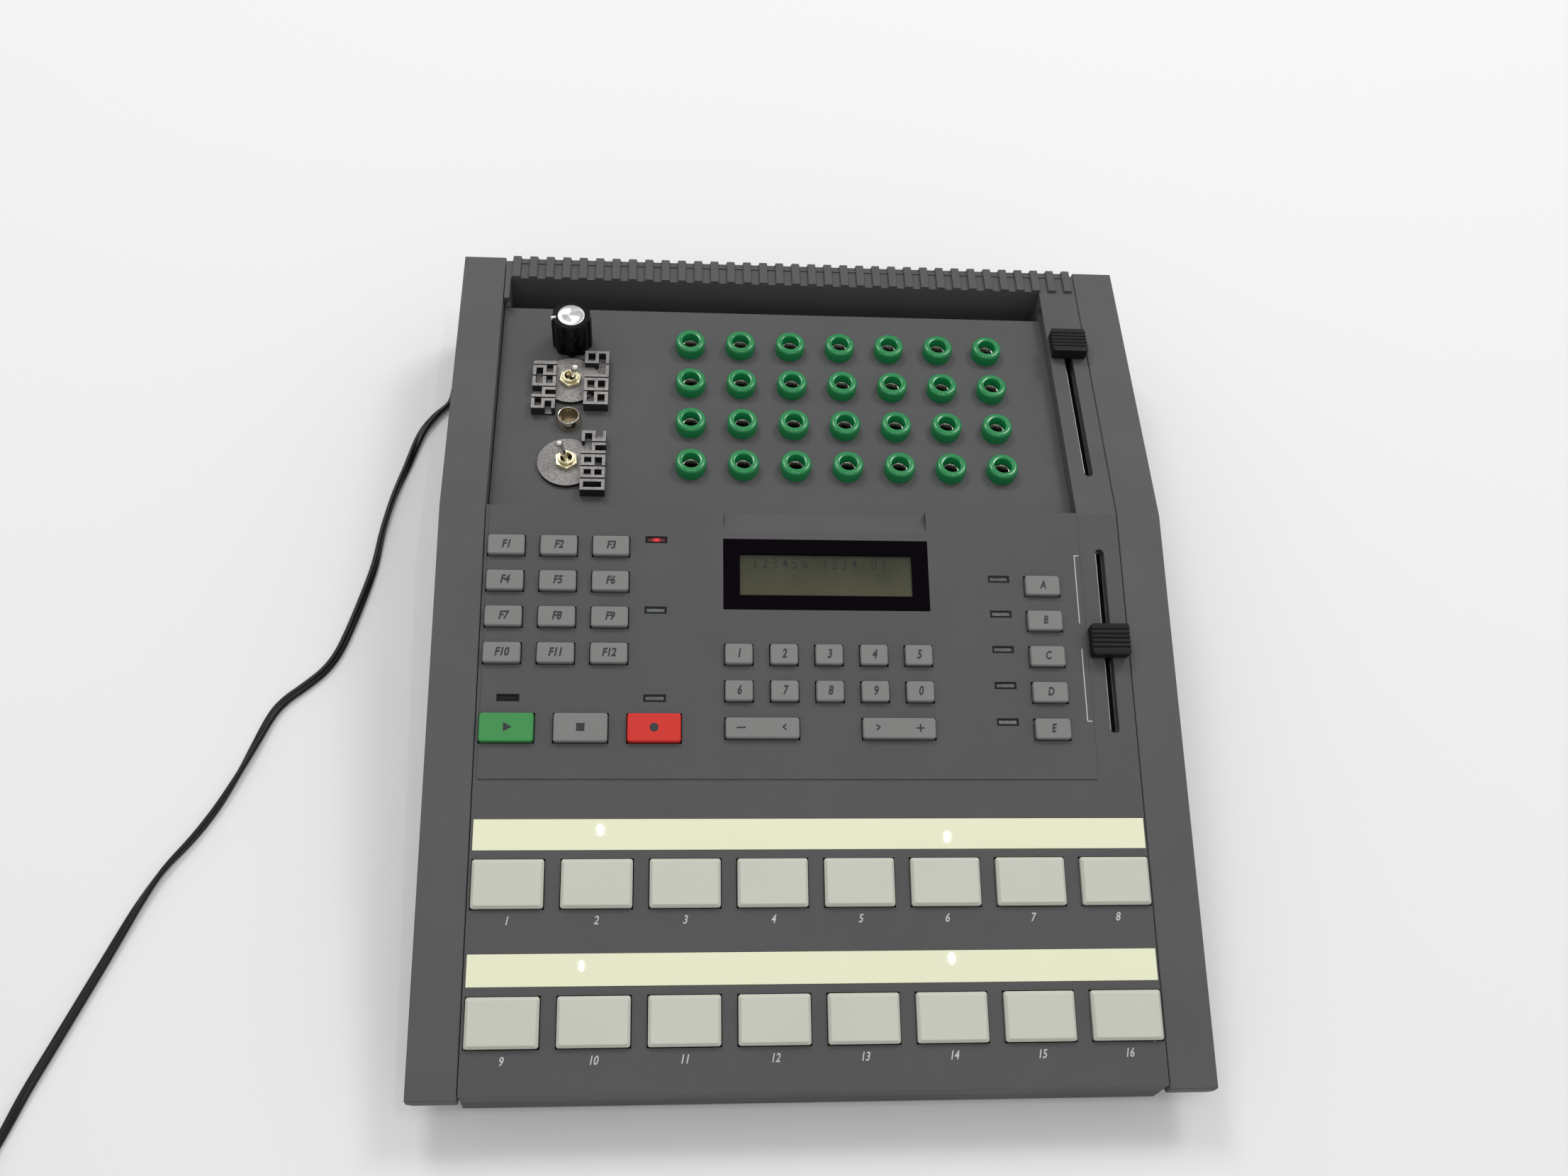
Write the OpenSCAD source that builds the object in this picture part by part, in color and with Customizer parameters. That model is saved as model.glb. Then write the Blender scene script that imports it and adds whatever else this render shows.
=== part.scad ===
// Desktop drum machine: sixteen pads, a raised key panel, and a patch field in the rear recess.
// Heights called n are measured square to the panel that a piece sits on.

/* [Case] */
// Width over both side cheeks
case_w = 273; // [262:1:300]
// Width of one side cheek
cheek_w = 16.9; // [12:0.1:20]
// Gap between a cheek and the middle of the case
seam = 0.3; // [0.3:0.1:0.8]
// Length of the front panel along its slope
front_len = 208.5; // [208:0.5:230]
// Length of the rear panel along its slope
rear_len = 124.5; // [123:0.5:140]
// Slope of the front panel in degrees
front_tilt = 10; // [7:0.5:12]
// Fall of the rear panel in degrees
rear_fall = 3.7; // [2:0.1:5]
// Height of the front panel's front edge above the table
front_h = 22; // [20:0.5:30]
// Height of the rubber feet
foot_h = 3; // [2:0.5:6]
// Diameter of a rubber foot
foot_d = 14; // [8:1:18]
// Thickness of the panels
skin = 2.5; // [2:0.1:3]
// Thickness of the walls
wall = 2.5; // [2:0.1:3]
// Height of the parting line above the table
split_h = 12; // [9:0.5:13]
// How far the cheeks reach out past the front edge
cheek_lead = 1.3; // [0:0.1:3]
// How far the cheeks reach out past the rear edge
cheek_tail = 2; // [2:0.1:5]
// Height of the underside of the cheeks above the table
cheek_base = 13.5; // [10:0.5:15]
// How far the connector wall stands in from the rear edge
connector_inset = 4; // [3.5:0.1:6]

/* [Recess] */
// Depth of the recess floor
recess_depth = 6; // [4:0.5:8]
// Width of the column to the right of the recess
column_w = 15.4; // [14:0.1:15.6]
// Depth of the hinge trench
trench_depth = 19; // [14:0.5:20]
// Length of the hinge trench
trench_len = 11; // [8:0.5:12]
// Length of the ribbed shelf behind the trench
shelf_len = 9.5; // [8:0.5:14]
// Width of the strip left of the trench
strip_w = 2.1; // [1.5:0.1:3]
// Diameter of the pivot holes of the missing lid
pivot_d = 5; // [3:0.5:6]

/* [Ribs] */
// Distance between ribs
rib_pitch = 6.8; // [6:0.1:9]
// Space between the outer ribs and the sides of the middle
rib_end = 1; // [0.8:0.1:4]
// Width of a rib at its top
rib_w = 3.1; // [2:0.1:4]
// Height of a rib
rib_h = 1.2; // [0.6:0.1:2]
// How far the ribs wrap out past the rear edge
rib_tail = 1.8; // [1:0.1:1.9]
// How far the ribs run down the rear wall
rib_drop = 6; // [3:0.5:9]

/* [Raised panel] */
// Height of the raised key panel
panel_h = 0.45; // [0.2:0.05:0.8]
// Length of the raised key panel
panel_len = 103; // [101:0.5:106]
// Width of the window
window_w = 76.7; // [74:0.1:80]
// Length of the window
window_l = 27.6; // [25:0.1:28]
// Window centre to the right of the middle
window_x = 6.85; // [6:0.05:8]
// Window centre in front of the ridge
window_y = 26.1; // [25:0.1:27]
// Width of the visible display
lcd_w = 64.4; // [50:0.1:66]
// Length of the visible display
lcd_l = 16; // [12:0.1:18]
// Length of the finger notch
notch_l = 8.7; // [5:0.1:10]
// Depth of the finger notch at the ridge
notch_depth = 3.5; // [2:0.1:5]

/* [Pads] */
// Width of a pad
pad_w = 24.5; // [20:0.1:24.5]
// Length of a pad
pad_l = 16.7; // [12:0.1:18]
// Space between an outer pad and the side of the middle
pad_edge = 0.93; // [0.8:0.01:3]
// Distance between the two rows
pad_row_pitch = 45.75; // [44:0.05:46]
// Front row centre behind the front edge
pad_y = 23.2; // [21:0.1:25]
// Height of a pad above the panel
pad_proud = 2.2; // [1.5:0.1:3]
// Travel of a pad
pad_travel = 1.2; // [0.5:0.1:1.4]
// Length of a label strip
label_l = 10.8; // [8:0.1:12]
// Label strip centre behind its row's centre
label_y = 17; // [16:0.1:18]
// Thickness of a label strip
label_t = 0.85; // [0.5:0.05:1.5]

/* [Keys] */
// Width of a function key
key_w = 13.4; // [10:0.1:14]
// Length of a key
key_l = 7.6; // [6:0.1:9]
// Distance between rows of keys
key_row = 13.75; // [12.8:0.05:14]
// First row of keys in front of the ridge
key_y = 16.1; // [15.5:0.1:18]
// Distance between columns of function keys
key_col = 19.1; // [17:0.1:20]
// Middle column of function keys in from the left side of the middle
key_x = 27.2; // [26.3:0.1:28]
// Width of a number key
number_w = 10.05; // [8:0.05:12]
// Distance between number keys
number_pitch = 16.5; // [14:0.1:16.6]
// Middle number key right of the middle
number_x = 6.9; // [6:0.1:8]
// Width of a cursor key
cursor_w = 26.5; // [20:0.1:27]
// Distance of the cursor keys from each other
cursor_pitch = 49.4; // [46:0.1:50]
// Width of a transport key
transport_w = 19.1; // [15:0.1:20]
// Length of a transport key
transport_l = 10.4; // [8:0.1:11]
// Distance between transport keys
transport_pitch = 26; // [24:0.1:26]
// Middle transport key in from the left side of the middle
transport_x = 36.85; // [36.3:0.05:38]
// Width of a select key
select_w = 13; // [10:0.1:14]
// Select keys in from the right side of the middle
select_x = 31.3; // [30.5:0.1:32.5]
// Height of a key above the raised panel
key_proud = 2; // [1:0.1:3]
// Travel of a key
key_travel = 1; // [0.5:0.1:1.2]
// Gap around pads and keys
key_gap = 0.35; // [0.3:0.05:0.35]
// Width of an indicator lens
lens_w = 7.9; // [5:0.1:9]
// Length of an indicator lens
lens_l = 2.6; // [2:0.1:3.5]

/* [Faders] */
// Width of a fader slot
slot_w = 3.4; // [3:0.1:4]
// Length of a fader slot
slot_l = 71.7; // [70:0.1:74]
// Faders in from the right side of the middle
fader_x = 7.8; // [7.4:0.1:8.2]
// Front fader's middle in front of the ridge
fader_front_y = 50.15; // [49:0.05:52]
// Rear fader's middle behind the middle of the recess
fader_rear_y = 1.95; // [0:0.05:4]
// Width of a fader cap
cap_w = 14.4; // [10:0.1:15]
// Length of a fader cap
cap_l = 12; // [8:0.1:14]
// Height of a fader cap above the panel
cap_h = 5.6; // [4:0.1:9]
// Front cap's place from the middle of its slot
front_set = -1.4; // [-29:0.1:29]
// Rear cap's place from the middle of its slot
rear_set = 29.8; // [-29.8:0.1:29.8]

/* [Controls] */
// Knob, light sensor and switches in from the left side of the middle
control_x = 28.3; // [27:0.1:30]
// Knob centre behind the middle of the recess
knob_y = 33.7; // [33:0.1:36]
// Diameter of the knob
knob_d = 16; // [13:0.1:17]
// Height of the knob
knob_h = 15.9; // [12:0.1:20]
// Diameter of the knob's metal disc
insert_d = 10.8; // [8:0.1:11.5]
// Diameter of the knob's shaft
shaft_d = 6; // [5:0.1:6.4]
// Upper switch centre behind the middle of the recess
upper_y = 12.8; // [11:0.1:13]
// Sensor centre in front of the middle of the recess
sensor_y = 7; // [6:0.1:8]
// Lower switch centre in front of the middle of the recess
lower_y = 27.9; // [27:0.1:29]
// Length of a lever above its pivot
lever_l = 10.5; // [8:0.1:13]
// Lean of a lever from upright
lever_lean = 17; // [10:0.5:20]
// Width across the flats of a switch nut
nut_af = 8; // [7:0.1:9]
// Thickness of a printed plate
plate_t = 1.6; // [1:0.1:2]
// Diameter of a printed plate's disc
plate_d = 22.4; // [20:0.1:23]
// Height of the raised figures above the recess floor
figure_h = 4.4; // [3:0.1:6]

/* [Sockets] */
// Sockets in a row
socket_cols = 7; // [3:1:7]
// Rows of sockets
socket_rows = 4; // [2:1:4]
// Distance between sockets
socket_pitch = 20.3; // [16:0.1:20.5]
// Middle of the field right of the middle
socket_x = 17.5; // [16:0.1:18]
// Middle of the field behind the middle of the recess
socket_y = 2; // [0:0.1:3]
// Diameter of a socket collar
collar_d = 12; // [10:0.1:13]
// Height of a socket collar
collar_h = 5; // [3:0.1:7]
// Diameter of the plug hole
plug_d = 4; // [3.5:0.05:4.5]

/* [Rear connectors] */
// Height of the connectors above the table
connector_h = 17; // [15.5:0.1:18]
// Number of output jacks
jack_count = 4; // [2:1:4]
// Distance between output jacks
jack_pitch = 23; // [20:0.5:24]
// Bore of an output jack
jack_d = 6.5; // [6:0.1:7]
// Outer diameter of a round five pin socket
din_d = 15.4; // [15:0.1:17]
// Rocker switch opening width
rocker_w = 19.4; // [18:0.1:21]
// Rocker switch opening height
rocker_h = 12.8; // [11:0.1:14]
// Tilt of the rocker from its middle
rocker_tilt = 8; // [5:0.5:9]

/* [Cord] */
// Diameter of the power cord
cord_d = 3.4; // [3:0.1:3.4]
// Turns of the coil in each layer
coil_turns = 5; // [3:1:5]
// Distance between turns of the coil
coil_pitch = 3.9; // [3.9:0.1:4.2]
// Inner radius of the coil
coil_in = 10; // [9:0.5:12]

/* [Hidden] */
$fn = 48;
ct = cos(front_tilt);
st = sin(front_tilt);
cf = cos(rear_fall);
sf = sin(rear_fall);
far_len = rear_len + cheek_tail;
span = (front_len + cheek_lead) * ct + far_len * cf;
y_low = -span / 2;
y_front = y_low + cheek_lead * ct;
y_ridge = y_front + front_len * ct;
z_ridge = front_h + front_len * st;
y_rear = y_ridge + rear_len * cf;
z_rear = z_ridge - rear_len * sf;
y_high = span / 2;
z_high = z_ridge - far_len * sf;
half_w = case_w / 2;
cheek_in = half_w - cheek_w;
mid_w = cheek_in - seam;
recess_x = mid_w - column_w;
trench_end = rear_len - shelf_len;
trench_start = trench_end - trench_len;
recess_mid = trench_start / 2;
panel_x0 = -mid_w + 1.4;
panel_x1 = recess_x - 0.4;
window_at = front_len - window_y;
y_panel = y_rear - connector_inset;
floor_t = 2.5;
z_floor = foot_h + floor_t;
fit = 0.1;
// Under the keys
flange_top = skin + 0.3;
flange_t = 1.2;
flange_out = 1;
stem_n = 6;
board_n = 7.8;
board_t = 1.6;
dome_n = stem_n + 1.4;
row1 = front_len - key_y;
pad_x = 0.3;
pad_pitch = (2 * (mid_w - pad_edge) - pad_w) / 7;
// Places on the panels that follow the sides of the middle and the middle of the recess
keys_at = key_x - mid_w;
transport_at = transport_x - mid_w;
select_at = mid_w - select_x;
fader_at = mid_w - fader_x;
rear_fader_at = recess_mid + fader_rear_y;
control_at = control_x - mid_w;
knob_at = recess_mid + knob_y;
upper_at = recess_mid + upper_y;
sensor_at = recess_mid - sensor_y;
lower_at = recess_mid - lower_y;
field_at = recess_mid + socket_y;
foot_at = mid_w - 24.3;
rib_slope = 0.35;
rib_shift = 0.7;
rib_run = 2 * (mid_w - rib_end - rib_shift - rib_slope) - rib_w;
rib_count = floor(rib_run / rib_pitch) + 1;
// Indicator lenses beside the keys
lens_out = 35.75;
lens_in = 16.3;
lens_up = 3.1;
lens_down = 2.6;
lens_aside = 16.25;
lens_row = 2.8;
label_x = 0.2;
label_w = 2 * mid_w - 1.4;
bezel_hole = 7.4;
collar_hole = 6.6;
stem_d = 8;
socket_od = 6.4;
boss_d = 7;
screw_d = 2.9;
screw_head = 5.6;
screw_len = 11;
rear_boss_x = mid_w - 8.3;
ledge = 0.3;
side_x = 0.1 - mid_w;

module on_front() {
    translate([0, y_front, front_h]) rotate([front_tilt, 0, 0]) children();
}
module on_rear() {
    translate([0, y_ridge, z_ridge]) rotate([-rear_fall, 0, 0]) children();
}
module on_floor() {
    on_rear() translate([0, 0, -recess_depth]) children();
}
function front_pt(l, n) = [y_front + l * ct - n * st, front_h + l * st + n * ct];
function rear_pt(l, n) = [y_ridge + l * cf + n * sf, z_ridge - l * sf + n * cf];
module block(x0, x1, y0, y1, z0, z1) {
    translate([x0, y0, z0]) cube([x1 - x0, y1 - y0, z1 - z0]);
}
// A rectangle with three cornered corners, so that its hulls stay plain
module plate(w, l, r) {
    polygon([for (q = [0:3], k = [0:2])
        let (a = q * 90 + k * 45, sx = (q == 0 || q == 3) ? 1 : -1, sy = q < 2 ? 1 : -1)
        [sx * (w / 2 - r) + r * cos(a), sy * (l / 2 - r) + r * sin(a)]]);
}
// A key cap with a chamfered top, a stem and a flange that holds it under the panel
module cap(w, l, top, bevel) {
    hull() {
        translate([0, 0, -stem_n]) linear_extrude(height = stem_n + top - bevel) plate(w, l, 0.9);
        translate([0, 0, top - 0.1]) linear_extrude(height = 0.1)
            plate(w - 2 * bevel, l - 2 * bevel, 0.7);
    }
    translate([0, 0, -flange_top - flange_t]) linear_extrude(height = flange_t)
        plate(w, l + 2 * flange_out, 0.5);
}
// A bar that joins the keys of one moulded strip under the panel
module web(x0, x1, y0, y1) {
    block(x0, x1, y0, y1, -flange_top - flange_t, -flange_top);
}
module opening(w, l) {
    square([w + 2 * key_gap, l + 2 * key_gap], center = true);
}
// A side profile in y and z, drawn out along x
module along_x(x0, x1, pts) {
    translate([x0, 0, 0]) rotate([90, 0, 90]) linear_extrude(height = x1 - x0) polygon(pts);
}
function pad_at(i) = [pad_x + ((i - 1) % 8 - 3.5) * pad_pitch, pad_y + (i > 8 ? 0 : 1) * pad_row_pitch];
function row_at(r) = row1 - r * key_row;
lens_at = [[keys_at + lens_out, row_at(0) + lens_up], [keys_at + lens_out, row_at(2) + lens_up],
    [keys_at - lens_in, row_at(4) - lens_down], [keys_at + lens_out, row_at(4) - lens_down],
    for (r = [1:5]) [select_at - lens_aside, row_at(r) + lens_row]];
function socket_at(i, j) = [socket_x + (i - (socket_cols - 1) / 2) * socket_pitch,
    field_at + (j - (socket_rows - 1) / 2) * socket_pitch];

/* Case */
module rib_comb(low, tall) {
    first = rib_pitch * (rib_count - 1) / 2;
    polygon([
        for (i = [0:rib_count - 1], k = [0:3])
            let (x = rib_shift - first + i * rib_pitch,
                dx = [-rib_w / 2 - rib_slope, -rib_w / 2, rib_w / 2, rib_w / 2 + rib_slope][k])
            [x + dx, (k == 0 || k == 3) ? low : tall],
        [rib_shift + first + rib_w / 2 + rib_slope, low - 1],
        [rib_shift - first - rib_w / 2 - rib_slope, low - 1]]);
}
module key_holes() {
    for (i = [1:16]) translate(pad_at(i)) opening(pad_w, pad_l);
    for (c = [-1:1], r = [0:3]) translate([keys_at + c * key_col, row_at(r)]) opening(key_w, key_l);
    for (c = [-1:1]) translate([transport_at + c * transport_pitch, row_at(5)])
        opening(transport_w, transport_l);
    for (c = [-2:2], r = [3:4]) translate([number_x + c * number_pitch, row_at(r)])
        opening(number_w, key_l);
    for (s = [-1, 1]) translate([number_x + s * cursor_pitch / 2, row_at(5)]) opening(cursor_w, key_l);
    for (r = [1:5]) translate([select_at, row_at(r)]) opening(select_w, key_l);
    for (p = lens_at) translate(p) square([lens_w + 2 * fit, lens_l + 2 * fit], center = true);
    translate([window_x, window_at]) square([window_w - 3, window_l - 3], center = true);
    translate([fader_at, front_len - fader_front_y]) slot();
}
module label_place(r) {
    translate([label_x, pad_y + label_y + r * pad_row_pitch, 0.15 - label_t]) children();
}
module slot() {
    square([slot_w, slot_l - slot_w], center = true);
    for (s = [-1, 1]) translate([0, s * (slot_l - slot_w) / 2]) circle(d = slot_w);
}
module control_holes() {
    translate([control_at, knob_at]) circle(d = 7.4);
    for (y = [upper_at, lower_at]) translate([control_at, y]) circle(d = 6.2);
    translate([control_at, sensor_at]) circle(d = bezel_hole - 1);
    for (i = [0:socket_cols - 1], j = [0:socket_rows - 1]) translate(socket_at(i, j))
        circle(d = stem_d + 4 * fit);
}
module boss(x, y, low, tall) {
    translate([x, y, low]) cylinder(d = boss_d, h = tall);
}
front_bosses = [[-75, 6.4], [75, 6.4], [-45, 98], [45, 98]];
function front_y(l) = y_front + l * ct;
module top_case() {
    color([0.37, 0.37, 0.375]) difference() {
        union() {
            difference() {
                union() {
                    along_x(-mid_w, mid_w, [front_pt(0, 0), front_pt(front_len, 0),
                        front_pt(front_len, -skin), front_pt(0, -skin)]);
                    along_x(-mid_w, mid_w, [rear_pt(0, 0), rear_pt(rear_len, 0),
                        rear_pt(rear_len, -skin), rear_pt(0, -skin)]);
                    on_front()
                        block(panel_x0, panel_x1, front_len - panel_len, front_len - 0.05, -1, panel_h);
                    block(0.2 - mid_w, mid_w - 0.2, y_front, y_front + wall, split_h, front_h - 0.1);
                    on_rear() {
                        block(side_x, recess_x + wall, -wall, trench_end,
                            -recess_depth - skin, -recess_depth);
                        block(side_x, recess_x + wall, -wall, ledge, -recess_depth - skin, -1.2);
                        block(recess_x, recess_x + wall, -wall, trench_end, -recess_depth - skin, -1.2);
                        block(side_x, recess_x + wall, trench_start - wall, trench_end + wall,
                            -trench_depth - skin, -1.2);
                        translate([0, trench_end, 0]) rotate([90, 0, 0]) mirror([0, 0, 1])
                            linear_extrude(height = shelf_len + rib_tail) rib_comb(-0.4, rib_h);
                    }
                    block(0.2 - mid_w, mid_w - 0.2, y_rear - wall, y_rear - 0.1, z_rear - 12, z_rear - 0.5);
                    translate([0, y_rear, z_rear - rib_drop]) linear_extrude(height = rib_drop + 0.5)
                        rib_comb(-0.4, rib_tail);
                    on_front() for (s = [-2, 2], r = [0, 1])
                        translate([pad_x + s * pad_pitch, pad_y + r * pad_row_pitch, -board_n])
                            cylinder(d = 3.6, h = board_n - 1);
                    on_front() for (x = [-40, 60]) translate([x, row_at(5) - 9, -board_n])
                        cylinder(d = 5, h = board_n - 1);
                }
                on_rear() {
                    block(-mid_w - 1, recess_x, ledge, trench_start, -recess_depth, 8);
                    block(-mid_w + strip_w, recess_x, trench_start - 0.1, trench_end, -trench_depth, 8);
                    translate([-mid_w - 1, trench_start + 2, -recess_depth + 2]) rotate([0, 90, 0])
                        cylinder(d = pivot_d, h = strip_w + 2);
                    translate([recess_x - 1, trench_start + 2, -recess_depth + 2]) rotate([0, 90, 0])
                        cylinder(d = pivot_d, h = 1 + wall * 0.8);
                    translate([fader_at, rear_fader_at, -skin - 1]) linear_extrude(height = skin + 2) slot();
                    translate([0, 0, -recess_depth - skin - 1]) linear_extrude(height = skin + 2)
                        control_holes();
                }
                on_front() {
                    translate([0, 0, -skin - 1]) linear_extrude(height = skin + 4) key_holes();
                    translate([window_x, window_at, -1.4]) linear_extrude(height = 4)
                        square([window_w + 2 * fit, window_l + 2 * fit], center = true);
                    for (r = [0, 1]) label_place(r) linear_extrude(height = 4)
                        square([label_w + 2 * fit, label_l + 2 * fit], center = true);
                    along_x(window_x - window_w / 2, window_x + window_w / 2,
                        [[front_len - notch_l, panel_h],
                        [front_len + 3, panel_h - (notch_depth + panel_h) * (notch_l + 3) / notch_l],
                        [front_len + 3, 6], [front_len - notch_l, 6]]);
                }
            }
            intersection() {
                for (p = front_bosses) boss(p[0], front_y(p[1]), z_floor + 0.3, 60);
                on_front() block(-half_w, half_w, -20, front_len, -80, -skin + 0.5);
            }
            intersection() {
                for (s = [-1, 1]) boss(s * rear_boss_x, y_ridge + trench_end - 5.5, z_floor + 0.3, 60);
                on_rear() {
                    block(-half_w, 0, 0, rear_len, -80, -trench_depth - 0.5);
                    block(0, half_w, 0, rear_len, -80, -skin + 0.5);
                }
            }
        }
        screw_places() translate([0, 0, z_floor]) cylinder(d = screw_d + fit, h = 10);
    }
}
module screw_places() {
    for (p = front_bosses) translate([p[0], front_y(p[1]), 0]) children();
    for (s = [-1, 1]) translate([s * rear_boss_x, y_ridge + trench_end - 5.5, 0]) children();
}
module bottom_case() {
    color([0.35, 0.35, 0.355]) difference() {
        union() {
            block(-mid_w, mid_w, y_front, y_panel, foot_h, z_floor);
            block(-mid_w, mid_w, y_front, y_front + wall, foot_h, split_h - 0.3);
            for (x = [-mid_w, mid_w - wall]) along_x(x, x + wall,
                [[y_front, foot_h], [y_front, split_h - 0.3], [y_front + 12, split_h - 0.3],
                [y_ridge - 30, z_ridge - 22], [y_ridge + 60, z_rear - trench_depth - skin - 3],
                [y_panel, z_rear - trench_depth - skin - 3], [y_panel, foot_h]]);
            block(-mid_w, mid_w, y_panel - wall, y_panel, foot_h, z_rear - skin - 3);
            intersection() {
                for (x = [-70, 30], l = [60, 110]) boss(x, front_y(l), foot_h, 60);
                on_front() block(-half_w, half_w, -20, front_len, -80, -board_n - board_t);
            }
        }
        screw_places() {
            translate([0, 0, foot_h - 1]) cylinder(d = screw_d + 0.6, h = 9);
            translate([0, 0, foot_h - 1]) cylinder(d = 6.2, h = 2.2);
        }
        for (x = jack_xs) translate([x, y_panel, connector_h]) rotate([90, 0, 0])
            cylinder(d = 9.2, h = 3 * wall, center = true);
        for (x = din_xs) translate([x, y_panel, connector_h]) rotate([90, 0, 0])
            cylinder(d = din_d + 0.2, h = 3 * wall, center = true);
        translate([inlet_x, y_panel, connector_h]) rotate([90, 0, 0])
            cylinder(d = 10.2, h = 3 * wall, center = true);
        translate([rocker_x, y_panel, connector_h]) {
            cube([rocker_w, 3 * wall, rocker_h], center = true);
            translate([0, -wall / 2, 0]) cylinder(d = 1.7, h = rocker_h + 2.6, center = true);
        }
        for (x = foot_xs, y = foot_ys) translate([x, y, foot_h - 1]) cylinder(d = 5.2, h = 10);
    }
}
module cheek() {
    outer = [[y_low, front_h - cheek_lead * st], [y_ridge, z_ridge], [y_high, z_high],
        [y_high, cheek_base], [y_low + 2.5, cheek_base], [y_low, cheek_base + 2]];
    hollow = [[y_low + 3, front_h - 3.6], [y_ridge - 2, z_ridge - recess_depth - 3.5],
        [y_high - 3, z_high - recess_depth - 3.5], [y_high - 3, cheek_base + 2.5],
        [y_low + 3, cheek_base + 2.5]];
    difference() {
        intersection() {
            along_x(cheek_in, half_w, outer);
            translate([0, y_high + 1, 0]) rotate([90, 0, 0]) linear_extrude(height = span + 2)
                polygon([[cheek_in, 0], [half_w - 4, cheek_base], [half_w, cheek_base + 4],
                    [half_w, z_ridge + 5], [cheek_in, z_ridge + 5]]);
        }
        along_x(cheek_in - 1, half_w - wall - 2, hollow);
    }
}
module left_cheek() {
    color([0.36, 0.36, 0.365]) mirror([1, 0, 0]) cheek();
}
module right_cheek() {
    color([0.36, 0.36, 0.365]) cheek();
}
foot_xs = [-foot_at, foot_at];
foot_ys = [y_front + 26, y_panel - 26];
module rubber_feet() {
    color([0.08, 0.08, 0.08]) for (x = foot_xs, y = foot_ys) translate([x, y, 0]) {
        cylinder(d1 = foot_d - 2, d2 = foot_d, h = 1);
        translate([0, 0, 1]) cylinder(d = foot_d, h = foot_h - 1);
        cylinder(d = 5, h = z_floor + 1);
    }
}
module case_screws() {
    color([0.6, 0.6, 0.6]) screw_places() translate([0, 0, foot_h + 0.2]) difference() {
        union() {
            cylinder(d = screw_head, h = 1);
            cylinder(d = screw_d, h = screw_len);
        }
        translate([0, 0, -1]) cylinder(d = screw_d - 0.5, h = 1.6, $fn = 6);
    }
}

/* Inside */
module circuit_board() {
    color([0.1, 0.35, 0.2]) difference() {
        on_front() union() {
            block(-mid_w + 4, mid_w - 4, 9.5, front_len - panel_len - 1, -board_n - board_t, -board_n);
            block(-mid_w + 4, panel_x1 - 1, front_len - panel_len - 1.5, row_at(0) + 7,
                -board_n - board_t, -board_n);
            for (i = [1:16]) translate(pad_at(i)) dome();
            for (c = [-1:1], r = [0:3]) translate([keys_at + c * key_col, row_at(r)]) dome();
            for (c = [-1:1]) translate([transport_at + c * transport_pitch, row_at(5)]) dome();
            for (c = [-2:2], r = [3:4]) translate([number_x + c * number_pitch, row_at(r)]) dome();
            for (s = [-1, 1]) translate([number_x + s * cursor_pitch / 2, row_at(5)]) dome();
            for (r = [1:5]) translate([select_at, row_at(r)]) dome();
        }
        for (p = front_bosses) translate([p[0], front_y(p[1]), 0]) cylinder(d = boss_d + 1.4, h = 80);
    }
}
module dome() {
    translate([0, 0, -board_n - 0.2]) cylinder(d = 4.6, h = board_n - dome_n + 0.2);
}
module display_window() {
    color([0.04, 0.03, 0.05]) on_front() translate([window_x, window_at, 0]) difference() {
        translate([0, 0, -1.4]) linear_extrude(height = 1.4 + panel_h - 0.1)
            square([window_w, window_l], center = true);
        translate([0, 0, -2]) linear_extrude(height = 4)
            square([lcd_w + 2 * fit, lcd_l + 2 * fit], center = true);
    }
}
lcd_rim = [15, 9];
lcd_set = 1.5;
lcd_glass = 2.8;
module lcd_module() {
    color([0.28, 0.29, 0.23]) on_front() translate([window_x, window_at, 0]) {
        translate([0, 0, -0.8 - lcd_glass]) linear_extrude(height = lcd_glass)
            square([lcd_w, lcd_l], center = true);
        translate([0, -lcd_set, -board_n]) linear_extrude(height = board_n - skin)
            square([lcd_w + lcd_rim[0], lcd_l + lcd_rim[1]], center = true);
    }
}
module label_strips() {
    color([0.9, 0.92, 0.8]) on_front() for (r = [0, 1]) label_place(r)
        linear_extrude(height = label_t) square([label_w, label_l], center = true);
}
module indicator_lenses() {
    color([0.55, 0.62, 0.58]) on_front() for (p = lens_at)
        translate([p[0], p[1], -board_n]) linear_extrude(height = board_n + panel_h - 0.1)
            square([lens_w, lens_l], center = true);
}

/* Pads and keys */
module pad(i) {
    color([0.78, 0.78, 0.74]) on_front() translate(pad_at(i)) cap(pad_w, pad_l, pad_proud, 1);
}
module key(x, y, w, l) {
    translate([x, y, 0]) cap(w, l, panel_h + key_proud, 0.4);
}
module function_keys(c) {
    x = keys_at + c * key_col;
    color([0.62, 0.62, 0.62]) on_front() {
        for (r = [0:3]) key(x, row_at(r), key_w, key_l);
        web(x - 1.5, x + 1.5, row_at(3), row_at(0));
    }
}
module transport_key(c, tint) {
    color(tint) on_front() key(transport_at + c * transport_pitch, row_at(5), transport_w, transport_l);
}
module number_keys(r) {
    color([0.62, 0.62, 0.62]) on_front() {
        for (c = [-2:2]) key(number_x + c * number_pitch, row_at(r), number_w, key_l);
        web(number_x - 2 * number_pitch, number_x + 2 * number_pitch, row_at(r) - 1.5, row_at(r) + 1.5);
    }
}
module cursor_keys() {
    color([0.62, 0.62, 0.62]) on_front() {
        for (s = [-1, 1]) key(number_x + s * cursor_pitch / 2, row_at(5), cursor_w, key_l);
        web(number_x - cursor_pitch / 2, number_x + cursor_pitch / 2, row_at(5) - 1.5, row_at(5) + 1.5);
    }
}
module select_keys() {
    color([0.62, 0.62, 0.62]) on_front() {
        for (r = [1:5]) key(select_at, row_at(r), select_w, key_l);
        web(select_at - 1.5, select_at + 1.5, row_at(5), row_at(1));
    }
}

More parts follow.
